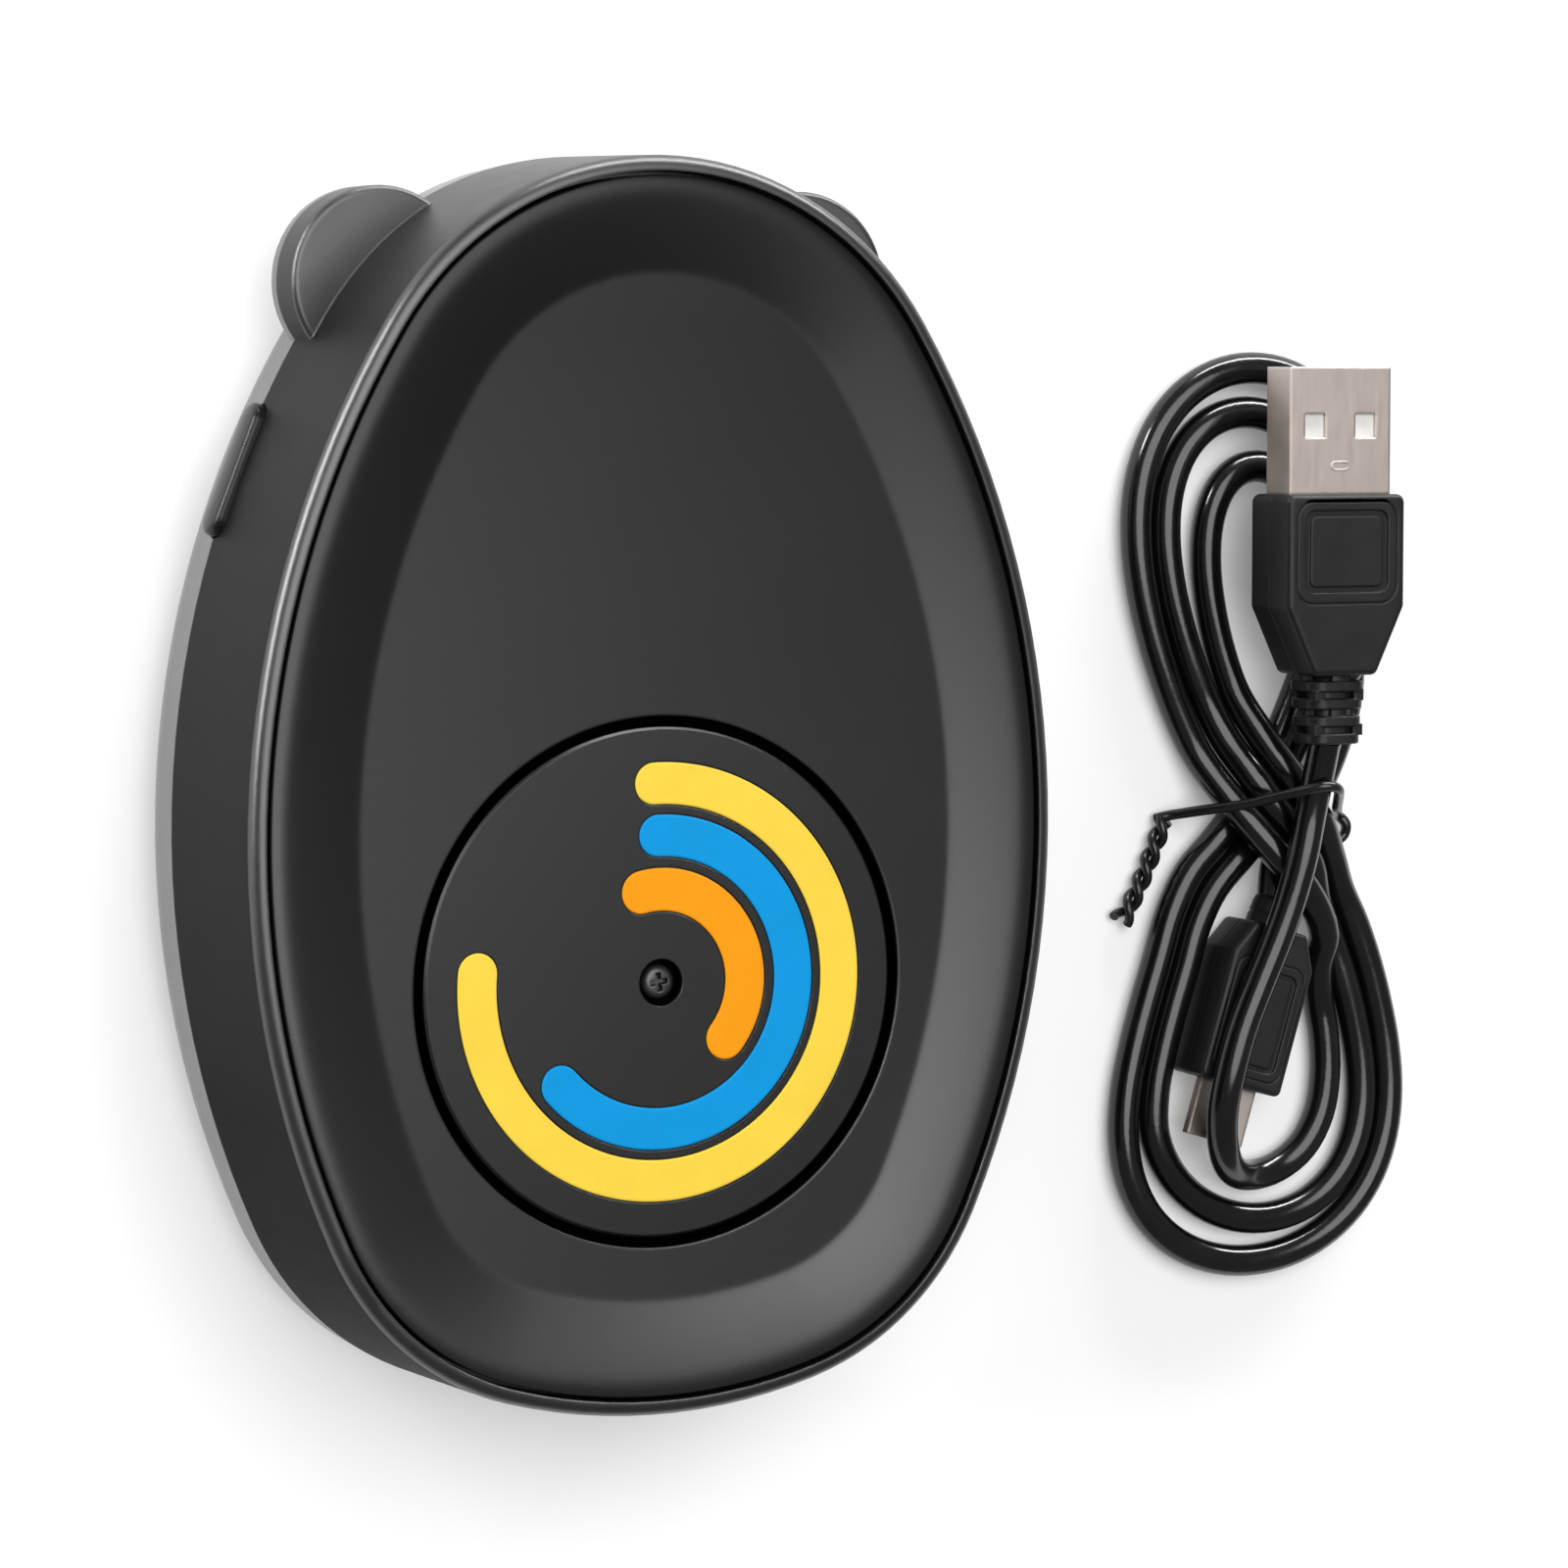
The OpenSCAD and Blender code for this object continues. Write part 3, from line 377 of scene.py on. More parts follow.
M = {
    # case_plastic: the last rim colour paints the rear cover lighter grey below the joint, a painted reflection
    "case_plastic": surface("case_plastic", (0.0078, 0.0078, 0.0081), 0.42, (7000.0, 0.000008), 0.06, 0.02, edge=0.06, edge_r=0.00035,
                            spec=0.012, rim=(0.10, 0.34, 0.95, 0.32, 0.01052, 1.0, 0.28, (0.055, 0.055, 0.056)),
                            along=((-0.030, 0.035, 0.055), (0.043, 0.062, 0.62))),
    # panel_plastic and disc_plastic: the last rim colour paints near-black shade below the face, in the seam, the well
    # and the disc's side
    "panel_plastic": surface("panel_plastic", (0.0072, 0.0072, 0.0075), 0.40, (5200.0, 0.0000055), 0.04, 0.004, edge=0.05, edge_r=0.0002, cloud=90.0,
                             spec=0.16, rim=(0.35, 0.75, 0.72, 0.27, 0.0287, -1.5, 0.6, (0.0015, 0.0015, 0.0015)), along=((-0.047, 0.043, -0.44),)),
    "disc_plastic": surface("disc_plastic", (0.0075, 0.0075, 0.0078), 0.45, (5200.0, 0.0000055), 0.04, 0.004, edge=0.5, edge_r=0.00015, cloud=90.0,
                            spec=0.02, rim=(0.35, 0.85, 0.5, 0.27, 0.0287, -0.9, 0.6, (0.0015, 0.0015, 0.0015))),
    "print_yellow": surface("print_yellow", (0.80, 0.56, 0.055), 0.5, (4200.0, 0.000006), 0.03, 0.05, spec=0.12),
    "print_blue": surface("print_blue", (0.0, 0.262, 0.61), 0.5, (4200.0, 0.000006), 0.03, 0.05, spec=0.12),
    "print_orange": surface("print_orange", (0.80, 0.285, 0.003), 0.5, (4200.0, 0.000006), 0.03, 0.05, spec=0.12),
    "dark_screw": surface("dark_screw", (0.085, 0.085, 0.088), 0.34, (6000.0, 0.000006), 0.15, 0.06, metal=0.8, edge=0.8, edge_r=0.00012),
    "button_plastic": surface("button_plastic", (0.008, 0.008, 0.0085), 0.28, (7000.0, 0.000006), 0.08, 0.03, edge=0.5, edge_r=0.00025, spec=0.32),
    "red_plastic": surface("red_plastic", (0.5, 0.02, 0.015), 0.4, (3000.0, 0.000006), 0.08, 0.06),
    "black_plastic": surface("black_plastic", (0.012, 0.012, 0.013), 0.45, (5000.0, 0.000010), 0.2, 0.06, edge=0.2),
    "plated_steel": surface("plated_steel", (0.56, 0.57, 0.58), 0.3, (900.0, 0.000006), 0.06, 0.08, metal=1.0, stretch=(1, 1, 12)),
    "gear_plastic": surface("gear_plastic", (0.74, 0.71, 0.6), 0.42, (2600.0, 0.000008), 0.05, 0.05),
    "winding": surface("winding", (0.6, 0.22, 0.07), 0.3, (3000.0, 0.000010), 0.15, 0.08, metal=1.0, wave=(2300.0, 0.4, "Z")),
    "magnet": surface("magnet", (0.06, 0.06, 0.065), 0.5, (3500.0, 0.000020), 0.2, 0.08, metal=0.6),
    "blue_plastic": surface("blue_plastic", (0.02, 0.09, 0.4), 0.4, (3500.0, 0.000008), 0.1, 0.05),
    "white_plastic": surface("white_plastic", (0.78, 0.77, 0.73), 0.4, (3500.0, 0.000008), 0.04, 0.05),
    "board_green": surface("board_green", (0.008, 0.12, 0.035), 0.28, (1500.0, 0.000012), 0.35, 0.08, coat=0.3),
    "rubber": surface("rubber", (0.028, 0.028, 0.028), 0.75, (5200.0, 0.000030), 0.25, 0.08, edge=0.2, spec=0.3),
    "label": surface("label", (0.4, 0.4, 0.395), 0.35, (2500.0, 0.000004), 0.05, 0.06),
    "plug_metal": surface("plug_metal", (0.56, 0.495, 0.45), 0.42, (1400.0, 0.000003), 0.03, 0.03, metal=1.0, edge=0.3, edge_r=0.0004, stretch=(6, 1, 1)),
    "copper": surface("copper", (0.75, 0.33, 0.12), 0.3, (2000.0, 0.000004), 0.1, 0.06, metal=1.0),
    "grip_plastic": surface("grip_plastic", (0.010, 0.010, 0.0105), 0.42, (6500.0, 0.000008), 0.12, 0.04, edge=0.25, edge_r=0.0002, spec=0.32),
    "cord_jacket": surface("cord_jacket", (0.0045, 0.0045, 0.005), 0.17, (1500.0, 0.000008), 0.2, 0.04, soft=False, spec=0.6),
    "tie_wire": surface("tie_wire", (0.01, 0.01, 0.01), 0.25, (2600.0, 0.000008), 0.2, 0.06, soft=False),
}
SLOT_OF = {s["node"]: s["material_slot"] for s in frame["record"]["subparts"]}
for node, ob in NODES.items():
    mat = M[SLOT_OF[node]]
    if not ob.material_slots:
        ob.data.materials.append(mat)
    for ms in ob.material_slots:
        ms.material = mat


# ------------------------------------------------------------------ mesh helpers
def mesh_obj(name, verts, faces, slot_name, body="base", sharp=32.0, weld=0.0, mat=None):
    """A mesh piece from points in mm."""
    me = bpy.data.meshes.new(name)
    me.from_pydata([(v[0] * MM, (v[1] + SHIFT_Y) * MM, v[2] * MM) for v in verts], [], [tuple(f) for f in faces])
    bm = bmesh.new()
    bm.from_mesh(me)
    if weld:
        bmesh.ops.remove_doubles(bm, verts=bm.verts, dist=weld * MM)
    bmesh.ops.recalc_face_normals(bm, faces=bm.faces)
    bm.to_mesh(me)
    bm.free()
    me.polygons.foreach_set("use_smooth", [True] * len(me.polygons))
    me.set_sharp_from_angle(angle=math.radians(sharp))
    me.update()
    me.materials.append(mat or M[slot_name])
    ob = bpy.data.objects.new(name, me)
    scene.collection.objects.link(ob)
    ob["body"] = body
    ob["slot"] = slot_name
    return ob


def rings_mesh(rings, closed=False, cap0=True, cap1=True):
    """Faces between rings of the same number of points. closed joins the last ring to the first."""
    m, k = len(rings[0]), len(rings)
    verts = [tuple(p) for r in rings for p in r]
    faces = []
    for i in range(k if closed else k - 1):
        a, b = i * m, ((i + 1) % k) * m
        for j in range(m):
            j2 = (j + 1) % m
            faces.append((a + j, a + j2, b + j2, b + j))
    if not closed:
        if cap0:
            faces.append(tuple(range(m))[::-1])
        if cap1:
            faces.append(tuple((k - 1) * m + j for j in range(m)))
    return verts, faces


# the case outline: six arcs about these middles
CHIN = (0.0, -0.3935, 55.0505)
CORNER = (8.1158, -28.2191, 26.0655)
HEAD = (0.0, 28.6209, 30.9151)
SIDE_R = 89.39
A_LO = math.degrees(math.atan2(-84, 187))
A_HI = math.degrees(math.atan2(28, 45))
A_BOT = math.degrees(math.atan2(-24, 7))
ARCS = [((-49.6485, -2.2715), SIDE_R, A_LO, A_HI, 100), (HEAD[:2], HEAD[2], A_HI, 180 - A_HI, 110),
        ((49.6485, -2.2715), SIDE_R, 180 - A_HI, 180 - A_LO, 100),
        ((-CORNER[0], CORNER[1]), CORNER[2], 180 - A_LO, 180 - A_BOT, 46), (CHIN[:2], CHIN[2], 180 - A_BOT, 360 + A_BOT, 50),
        (CORNER[:2], CORNER[2], 360 + A_BOT, 360 + A_LO, 46)]
OUT_C, OUT_R, OUT_D = [], [], []
for c, r, a0, a1, n in ARCS:
    for i in range(n):
        a = math.radians(a0 + (a1 - a0) * i / n)
        OUT_C.append(c)
        OUT_R.append(r)
        OUT_D.append((math.cos(a), math.sin(a)))
OUT_C, OUT_R, OUT_D = np.array(OUT_C), np.array(OUT_R), np.array(OUT_D)
DISC = np.array([0.0, -16.07])


def egg(o, z):
    p = OUT_C + (OUT_R + o)[:, None] * OUT_D
    return np.concatenate([p, np.full((len(p), 1), z)], 1)


def around_disc(r, z):
    """A circle about the disc's axis with one point towards each point of the outline."""
    d = egg(-12.0, 0.0)[:, :2] - DISC
    d /= np.linalg.norm(d, axis=1, keepdims=True)
    p = DISC + r * d
    return np.concatenate([p, np.full((len(p), 1), z)], 1)


# ------------------------------------------------------------------ face panel with its dish and well
def dish_profile():
    """Offsets and heights of the face from the flat floor up to the seam: a tight foot, a swelling slope, a rolled edge."""
    o = np.linspace(-9.9, -0.62, 60)
    s = np.interp(o, [-9.9, -9.55, -9.1, -8.6, -6.0, -3.2, -2.3, -1.5, -1.0, -0.62],
                  [0.0, 0.02, 0.16, 0.205, 0.18, 0.14, 0.09, -0.02, -0.16, -0.34])
    z = np.concatenate([[0], np.cumsum((s[1:] + s[:-1]) / 2 * np.diff(o))])
    z *= 1.13 / z.max()
    return o, 29.0 + z


def build_panel():
    o, z = dish_profile()
    rings = [egg(-0.4, 27.02), egg(-0.4, 28.6), egg(-0.4, z[-1] - 0.22), egg(-0.43, z[-1] - 0.11), egg(-0.5, z[-1] - 0.035)]
    rings += [egg(a, b) for a, b in zip(o[::-1], z[::-1])]
    rings += [egg(-10.1, 29.0), egg(-11.8, 29.0)]
    rings += [around_disc(25.3, 29.0), around_disc(25.15, 29.0)]
    for a in (18, 36, 54, 72):
        rings.append(around_disc(25.01 + 0.12 * (1 - math.sin(math.radians(a))), 29.0 - 0.12 * (1 - math.cos(math.radians(a)))))
    rings += [around_disc(25.01, 28.85), around_disc(25.0, 26.2), around_disc(24.94, 26.0), around_disc(24.7, 25.92),
              around_disc(24.5, 25.9), around_disc(5.9, 25.9), around_disc(5.65, 25.87), around_disc(5.52, 25.7), around_disc(5.5, 24.35),
              around_disc(5.6, 24.3), around_disc(26.4, 24.3), around_disc(26.58, 24.4), around_disc(26.6, 26.9), around_disc(26.8, 27.0),
              egg(-11.8, 27.0), egg(-0.6, 27.0)]
    v, f = rings_mesh(rings, closed=True)
    verts, faces = list(v), list(f)

    def post(x, y, r0, r1, z0, z1, depth):
        n = 40
        ang = np.linspace(0, 2 * math.pi, n, endpoint=False)
        base = len(verts)
        prof = [(r0, z1), (r0, z0 + 0.2), (r0 - 0.2, z0), (r1 + 0.25, z0), (r1, z0 + 0.25), (r1, depth)]
        for r, zz in prof:
            verts.extend((x + r * math.cos(t), y + r * math.sin(t), zz) for t in ang)
        for i in range(len(prof) - 1):
            for j in range(n):
                faces.append((base + i * n + j, base + i * n + (j + 1) % n, base + (i + 1) * n + (j + 1) % n, base + (i + 1) * n + j))
        faces.append(tuple(base + j for j in range(n)))
        faces.append(tuple(base + (len(prof) - 1) * n + j for j in range(n)))

    for cx, cy, r, a in ((*CORNER, -50), (-CORNER[0], *CORNER[1:], 230), (*HEAD, 50), (*HEAD, 130)):
        t = math.radians(a)
        post(cx + (r - 5.6) * math.cos(t), cy + (r - 5.6) * math.sin(t), 3.0, 1.05, 17.6, 27.0, 25.5)
    for s in (-17.5, 17.5):
        post(s, -8.07, 3.2, 1.2, 22.6, 24.3, 24.2)
    ob = mesh_obj("face_panel", verts, faces, "panel_plastic", sharp=38)
    return ob


panel = build_panel()

# ------------------------------------------------------------------ printed stripes
def stripe(name, slot_name, r0, r1, a0, a1):
    """A ring sector with round ends that lies in its pocket, a hair narrower and with soft edges."""
    rm, w = (r0 + r1) / 2, (r1 - r0) / 2 - 0.13
    top, low, f = 28.985, 28.81, 0.06
    prof = [(-w, low), (-w, top - f), (-w + f * 0.3, top - f * 0.3), (-w + f, top), (-w + 2 * f, top), (0.0, top), (w - 2 * f, top), (w - f, top),
            (w - f * 0.3, top - f * 0.3), (w, top - f), (w, low)]
    n = max(24, int(abs(a1 - a0) / 1.5))
    verts, faces = [], []
    k = len(prof)
    for i in range(n + 1):
        a = math.radians(a0 + (a1 - a0) * i / n)
        for u, z in prof:
            verts.append((DISC[0] + (rm + u) * math.cos(a), DISC[1] + (rm + u) * math.sin(a), z))
    for i in range(n):
        for j in range(k):
            j2 = (j + 1) % k
            faces.append((i * k + j, (i + 1) * k + j, (i + 1) * k + j2, i * k + j2))
    half = [(u, z) for u, z in prof if u >= 0]
    for a_end, sgn in ((a0, -1), (a1, 1)):
        a = math.radians(a_end)
        cx, cy = DISC[0] + rm * math.cos(a), DISC[1] + rm * math.sin(a)
        steps, base, h = 26, len(verts), len(half)
        for i in range(steps + 1):
            t = a + sgn * math.pi * i / steps
            for u, z in half:
                verts.append((cx + u * math.cos(t), cy + u * math.sin(t), z))
        low_c = len(verts)
        verts.append((cx, cy, low))
        for i in range(steps):
            for j in range(h - 1):
                p, q = base + i * h + j, base + (i + 1) * h + j
                faces.append((p, q, q + 1, p + 1) if j else (p, q + 1, p + 1))
            faces.append((base + i * h + h - 1, base + (i + 1) * h + h - 1, low_c))
    ob = mesh_obj(name, verts, faces, slot_name, body="turntable", weld=0.002)
    return ob


stripes = [stripe("stripe_yellow", "print_yellow", 16.6, 20.8, 175, 452),
           stripe("stripe_blue", "print_blue", 11.7, 15.9, 222, 451),
           stripe("stripe_orange", "print_orange", 6.6, 10.9, -39.5, 103)]

# ------------------------------------------------------------------ moulded pieces from plan outlines
def rounded(poly, rho, inset=0.0, dense=2400):
    """The outline of a convex polygon, moved in by inset, its corners rounded."""
    pts, k = [np.array(q, float) for q in poly], len(poly)
    area2 = sum(pts[i][0] * pts[(i + 1) % k][1] - pts[(i + 1) % k][0] * pts[i][1] for i in range(k))
    if area2 < 0:
        pts = pts[::-1]
    lines = []
    for i in range(k):
        d = pts[(i + 1) % k] - pts[i]
        d /= np.linalg.norm(d)
        n = np.array([d[1], -d[0]])
        lines.append((n, float(n @ pts[i]) - inset - rho))
    out = []
    for i in range(k):
        (n0, c0), (n1, c1) = lines[i - 1], lines[i]
        v = np.linalg.solve(np.array([n0, n1]), np.array([c0, c1]))
        a0, a1 = math.atan2(n0[1], n0[0]), math.atan2(n1[1], n1[0])
        a1 += 2 * math.pi * (a1 < a0)
        for t in np.linspace(a0, a1, 9):
            out.append(v + rho * np.array([math.cos(t), math.sin(t)]))
    out = np.array(out)
    ring = np.concatenate([out, out[:1]])
    s = np.concatenate([[0], np.cumsum(np.linalg.norm(np.diff(ring, axis=0), axis=1))])
    t = np.unique(np.concatenate([s[:-1], np.linspace(0, s[-1], dense, endpoint=False)]))
    return out, np.stack([np.interp(t, s, ring[:, 0]), np.interp(t, s, ring[:, 1])], 1)


def plan_rings(centre, specs, step=5.0):
    """Rings of equal point count, one for each (polygon, corner radius, inset, height)."""
    centre = np.array(centre, float)
    shapes, angles = [], list(np.radians(np.arange(-180, 180, step)))
    for poly, rho, inset, z in specs:
        corners, outline = rounded(poly, max(rho - inset, 0.05), inset)
        d = corners - centre
        angles += list(np.arctan2(d[:, 1], d[:, 0]))
        d = outline - centre
        shapes.append((np.arctan2(d[:, 1], d[:, 0]), np.linalg.norm(d, axis=1), z))
    angles = np.sort(np.array(angles))
    keep_a = [angles[0]]
    for a in angles[1:]:
        if a - keep_a[-1] > math.radians(0.5):
            keep_a.append(a)
    angles = np.array(keep_a)
    rings = []
    for a, r, z in shapes:
        o = np.argsort(a)
        a, r = a[o], r[o]
        rr = np.interp(angles, np.concatenate([a - 2 * math.pi, a, a + 2 * math.pi]), np.concatenate([r, r, r]))
        rings.append(np.stack([centre[0] + rr * np.cos(angles), centre[1] + rr * np.sin(angles), np.full(len(angles), z)], 1))
    return rings


def rect(x, y0, y1):
    return [(-x, y0), (x, y0), (x, y1), (-x, y1)]


def soft_edge(poly, rho, z0, z1, f, spot=None):
    """Specs of a slab with rounded edges and, at half height, the fine line where the mould's halves met."""
    mid = (z0 + z1) / 2
    arc = [(math.cos(math.radians(t)), math.sin(math.radians(t))) for t in (0, 22, 45, 68, 90)]
    lower = [(poly, rho, f + 0.2, z0)] + [(poly, rho, f * (1 - c), z0 + f * (1 - s)) for c, s in arc[::-1]]
    upper = [(poly, rho, f * (1 - c), z1 - f * (1 - s)) for c, s in arc] + [(poly, rho, f + 0.2, z1)]
    joint = [(poly, rho, 0.0, mid - 0.09), (poly, rho, 0.06, mid - 0.03), (poly, rho, 0.06, mid + 0.03), (poly, rho, 0.0, mid + 0.09)]
    return lower + joint + upper


def groove(poly, rho, top, w=0.14, d=0.16):
    """Specs that go down and up again: a line pressed into the top face."""
    return [(poly, rho, -w - 0.12, top), (poly, rho, -w, top), (poly, rho, -w * 0.55, top - d * 0.25), (poly, rho, -w * 0.3, top - d), (poly, rho, w * 0.3, top - d),
            (poly, rho, w * 0.55, top - d * 0.25), (poly, rho, w, top), (poly, rho, w + 0.12, top)]


def step_down(poly, rho, z0, z1, f=0.09):
    return [(poly, rho, -f - 0.1, z0), (poly, rho, -f, z0), (poly, rho, -f * 0.3, z0 - f * 0.3), (poly, rho, 0.0, z0 - f), (poly, rho, 0.0, z1 + f * 0.6),
            (poly, rho, f * 0.6, z1), (poly, rho, f * 0.6 + 0.1, z1)]


def step_up(poly, rho, z0, z1, f=0.09):
    return [(poly, rho, -f * 0.6, z0), (poly, rho, 0.0, z0 + f * 0.6), (poly, rho, 0.0, z1 - f), (poly, rho, f * 0.3, z1 - f * 0.3), (poly, rho, f, z1), (poly, rho, f + 0.15, z1)]


def put(rings, origin, turn=0.0):
    c, s = math.cos(math.radians(turn)), math.sin(math.radians(turn))
    return [[(origin[0] + x * c - y * s, origin[1] + x * s + y * c, origin[2] + z) for x, y, z in r] for r in rings]


def add_solid(verts, faces, rings):
    v, f = rings_mesh(rings)
    base = len(verts)
    verts.extend(v)
    faces.extend(tuple(i + base for i in q) for q in f)


def across(y, hw, hh, rho, n=9):
    """A rounded rectangle standing across the lead at y."""
    out = []
    rho = min(rho, hw - 0.01, hh - 0.01)
    for sx, sz, a0 in ((1, 1, 0), (-1, 1, 90), (-1, -1, 180), (1, -1, 270)):
        for t in np.radians(np.linspace(a0, a0 + 90, n)):
            out.append((sx * (hw - rho) + rho * math.cos(t), y, sz * (hh - rho) + rho * math.sin(t)))
    return out


USB_AT = (84.0, 10.5, 11.1)
SMALL_AT = (HANK_X + float(MICRO_AT[0]), HANK_Y + float(MICRO_AT[1]), 3.9)
SMALL_TURN = math.degrees(MICRO_A)


def build_usb_grip():
    verts, faces = [], []
    body = [(-7, 18), (7, 18), (7, 6.5), (3.7, -0.5), (-3.7, -0.5), (-7, 6.5)]
    specs = soft_edge(body, 0.9, -3.8, 3.8, 0.55)
    specs += groove(rect(5.95, 6.9, 17.3), 1.9, 3.8)
    specs += step_down(rect(4.9, 8.0, 16.4), 1.1, 3.8, 3.5)
    specs += step_up(rect(4.3, 8.6, 15.8), 0.7, 3.5, 3.7)
    add_solid(verts, faces, put(plan_rings((0, 12.2), specs), USB_AT))
    # strain relief: a sleeve with four ribs, joined by bridges that change sides
    rings = [across(-0.3, 2.6, 2.3, 1.6)]
    hw = [3.3, 3.2, 3.1, 3.0]
    for i in range(4):
        y0, y1, w = -1.1 - 1.8 * i, -2.2 - 1.8 * i, hw[i]
        h = w * 0.86
        rings += [across(y0 + 0.02, 2.15, 2.0, 1.4), across(y0, w - 0.16, h - 0.16, 1.5), across(y0 - 0.14, w, h, 1.6),
                  across(y1 + 0.14, w, h, 1.6), across(y1, w - 0.16, h - 0.16, 1.5), across(y1 - 0.02, 2.15, 2.0, 1.4)]
    rings += [across(-7.62, 2.15, 2.0, 1.4), across(-7.66, 1.72, 1.72, 1.6)]
    add_solid(verts, faces, put(rings, USB_AT))
    for i, side in ((0, 0), (1, 1), (2, 0), (3, 1)):
        y1 = -1.15 - 1.8 * i
        y0 = y1 + 0.85 if i else -0.45
        for x in ((-2.3, 2.3) if side else (0.0,)):
            half = 0.62 if side else 0.95
            for zs in (-1, 1):
                top = 3.3 * 0.86 - 0.16 - 0.09 * i
                ring = [[(x + half * cx, yy, zs * zz) for cx, zz in ((-1, 1.2), (-1, top - 0.12), (-0.8, top), (0.8, top), (1, top - 0.12), (1, 1.2))]
                        for yy in (y1 - 0.15, y0 + 0.15)]
                add_solid(verts, faces, put(ring, USB_AT))
        half = 0.85
        if not side:
            for xs in (-1, 1):
                ring = [[(xs * xx, yy, half * cz) for xx, cz in ((1.2, -1), (2.98, -1), (3.1 - 0.09 * i, -0.8), (3.1 - 0.09 * i, 0.8), (2.98, 1), (1.2, 1))]
                        for yy in (y1 - 0.15, y0 + 0.15)]
                add_solid(verts, faces, put(ring, USB_AT))
    return mesh_obj("usb_large_grip", verts, faces, "grip_plastic", sharp=36)


def build_small_grip():
    verts, faces = [], []
    body = [(-5, -17), (5, -17), (5, -3.5), (3.2, 0), (-3.2, 0), (-5, -3.5)]
    specs = soft_edge(body, 0.7, -3.3, 3.3, 0.5)
    specs += groove(rect(4.15, -15.9, -3.7), 1.4, 3.3, 0.11, 0.14)
    specs += step_down(rect(3.4, -15.0, -4.6), 0.9, 3.3, 3.0)
    specs += step_up(rect(2.9, -14.5, -5.1), 0.6, 3.0, 3.2)
    add_solid(verts, faces, put(plan_rings((0, -9.8), specs), SMALL_AT, SMALL_TURN))
    rings = [across(-0.3, 2.3, 2.1, 1.9), across(0.9, 2.25, 2.05, 1.9), across(1.1, 2.1, 1.95, 1.8), across(1.3, 2.2, 2.0, 1.9),
             across(2.3, 2.1, 1.95, 1.9), across(2.8, 1.95, 1.85, 1.8), across(3.0, 1.72, 1.7, 1.65)]
    add_solid(verts, faces, put(rings, SMALL_AT, SMALL_TURN))
    return mesh_obj("usb_small_grip", verts, faces, "grip_plastic", sharp=36)


def build_shell_mark():
    """The small oblong pressed into the large plug's shell, and the joint of its folded sheet underneath."""
    verts, faces = [], []
    n, m = 56, 8
    ring = []
    for i in range(n):
        t = 2 * math.pi * i / n
        cx, cy = math.cos(t), math.sin(t)
        px, py = 1.05 * np.sign(cx) * abs(cx) ** 0.55, 0.42 * np.sign(cy) * abs(cy) ** 0.9
        ring.append([(px * (1 + 0.11 * math.cos(2 * math.pi * j / m)), 20.9 + py * (1 + 0.3 * math.cos(2 * math.pi * j / m)),
                      2.24 + 0.1 * math.sin(2 * math.pi * j / m)) for j in range(m)])
    v, f = rings_mesh(put(ring, USB_AT), closed=True)
    verts.extend(v)
    faces.extend(f)
    for x0, x1, y0, y1 in ((-0.09, 0.09, 18.6, 21.0), (-0.09, 0.09, 22.4, 30.4), (-0.9, 0.9, 21.0, 21.16), (-0.9, 0.9, 22.24, 22.4), (-0.9, -0.74, 21.0, 22.4),
                           (0.74, 0.9, 21.0, 22.4)):
        slab = [[(x0, y, -2.2), (x0, y, -2.275), (x0 + 0.04, y, -2.29), (x1 - 0.04, y, -2.29), (x1, y, -2.275), (x1, y, -2.2)] for y in (y0, y1)]
        add_solid(verts, faces, put(slab, USB_AT))
    return mesh_obj("usb_shell_mark", verts, faces, "plug_metal", sharp=40)


BTN_A = 158.1
BTN_AT = (49.6485 + 89.39 * math.cos(math.radians(BTN_A)), -2.2715 + 89.39 * math.sin(math.radians(BTN_A)), 10.6)


def build_button():
    """A long bar with round ends and a slightly crowned front; behind the wall it has a flange."""
    verts, faces = [], []

    def pill_ring(x, length, height, crown=0.0):
        r = height / 2
        out = []
        for side, a0 in ((1, -90), (-1, 90)):
            for t in np.radians(np.linspace(a0, a0 + 180, 15)):
                out.append((x, side * (length - height) / 2 + r * math.cos(t), r * math.sin(t)))
            if side == 1:
                out += [(x + crown * 0, (length - height) / 2 * k, r) for k in (0.6, 0.2, -0.2, -0.6)]
            else:
                out += [(x, -(length - height) / 2 * k, -r) for k in (0.6, 0.2, -0.2, -0.6)]
        return out

    rings = [pill_ring(-1.0, 13.2, 3.8), pill_ring(2.2, 13.2, 3.8)]
    for t in (20, 40, 60, 80):
        c, q = math.cos(math.radians(t)), math.sin(math.radians(t))
        rings.append(pill_ring(2.2 + 0.55 * q, 13.2 - 1.1 * (1 - c), 3.8 - 1.1 * (1 - c)))
    rings += [pill_ring(2.78, 11.7, 2.3), pill_ring(2.84, 11.0, 1.5), pill_ring(2.87, 10.4, 0.7)]
    add_solid(verts, faces, put(rings, BTN_AT, BTN_A))
    flange = []
    for x, k in ((-1.7, 0.2), (-1.55, 0.0), (-0.85, 0.0), (-0.7, 0.15)):
        flange.append([(x, y, z) for y, z in ((-7.4 + k, -2.6 + k), (7.4 - k, -2.6 + k), (7.4 - k, 2.6 - k), (-7.4 + k, 2.6 - k))])
    add_solid(verts, faces, put(flange, BTN_AT, BTN_A))
    return mesh_obj("button_bar", verts, faces, "button_plastic", body="button", sharp=36)


# ------------------------------------------------------------------ wire tie
DENSE = refine(refine(line))


def over(xy, gap):
    """Least height at which a wire of that radius clears the cord and the floor."""
    d = np.linalg.norm(xy[:, None, :] - DENSE[None, :, :2], axis=2)
    reach = CORD_R + gap
    h = np.where(d < reach, DENSE[None, :, 2] + np.sqrt(np.maximum(reach * reach - d * d, 0)), 0.0).max(1)
    return np.maximum(h, gap)


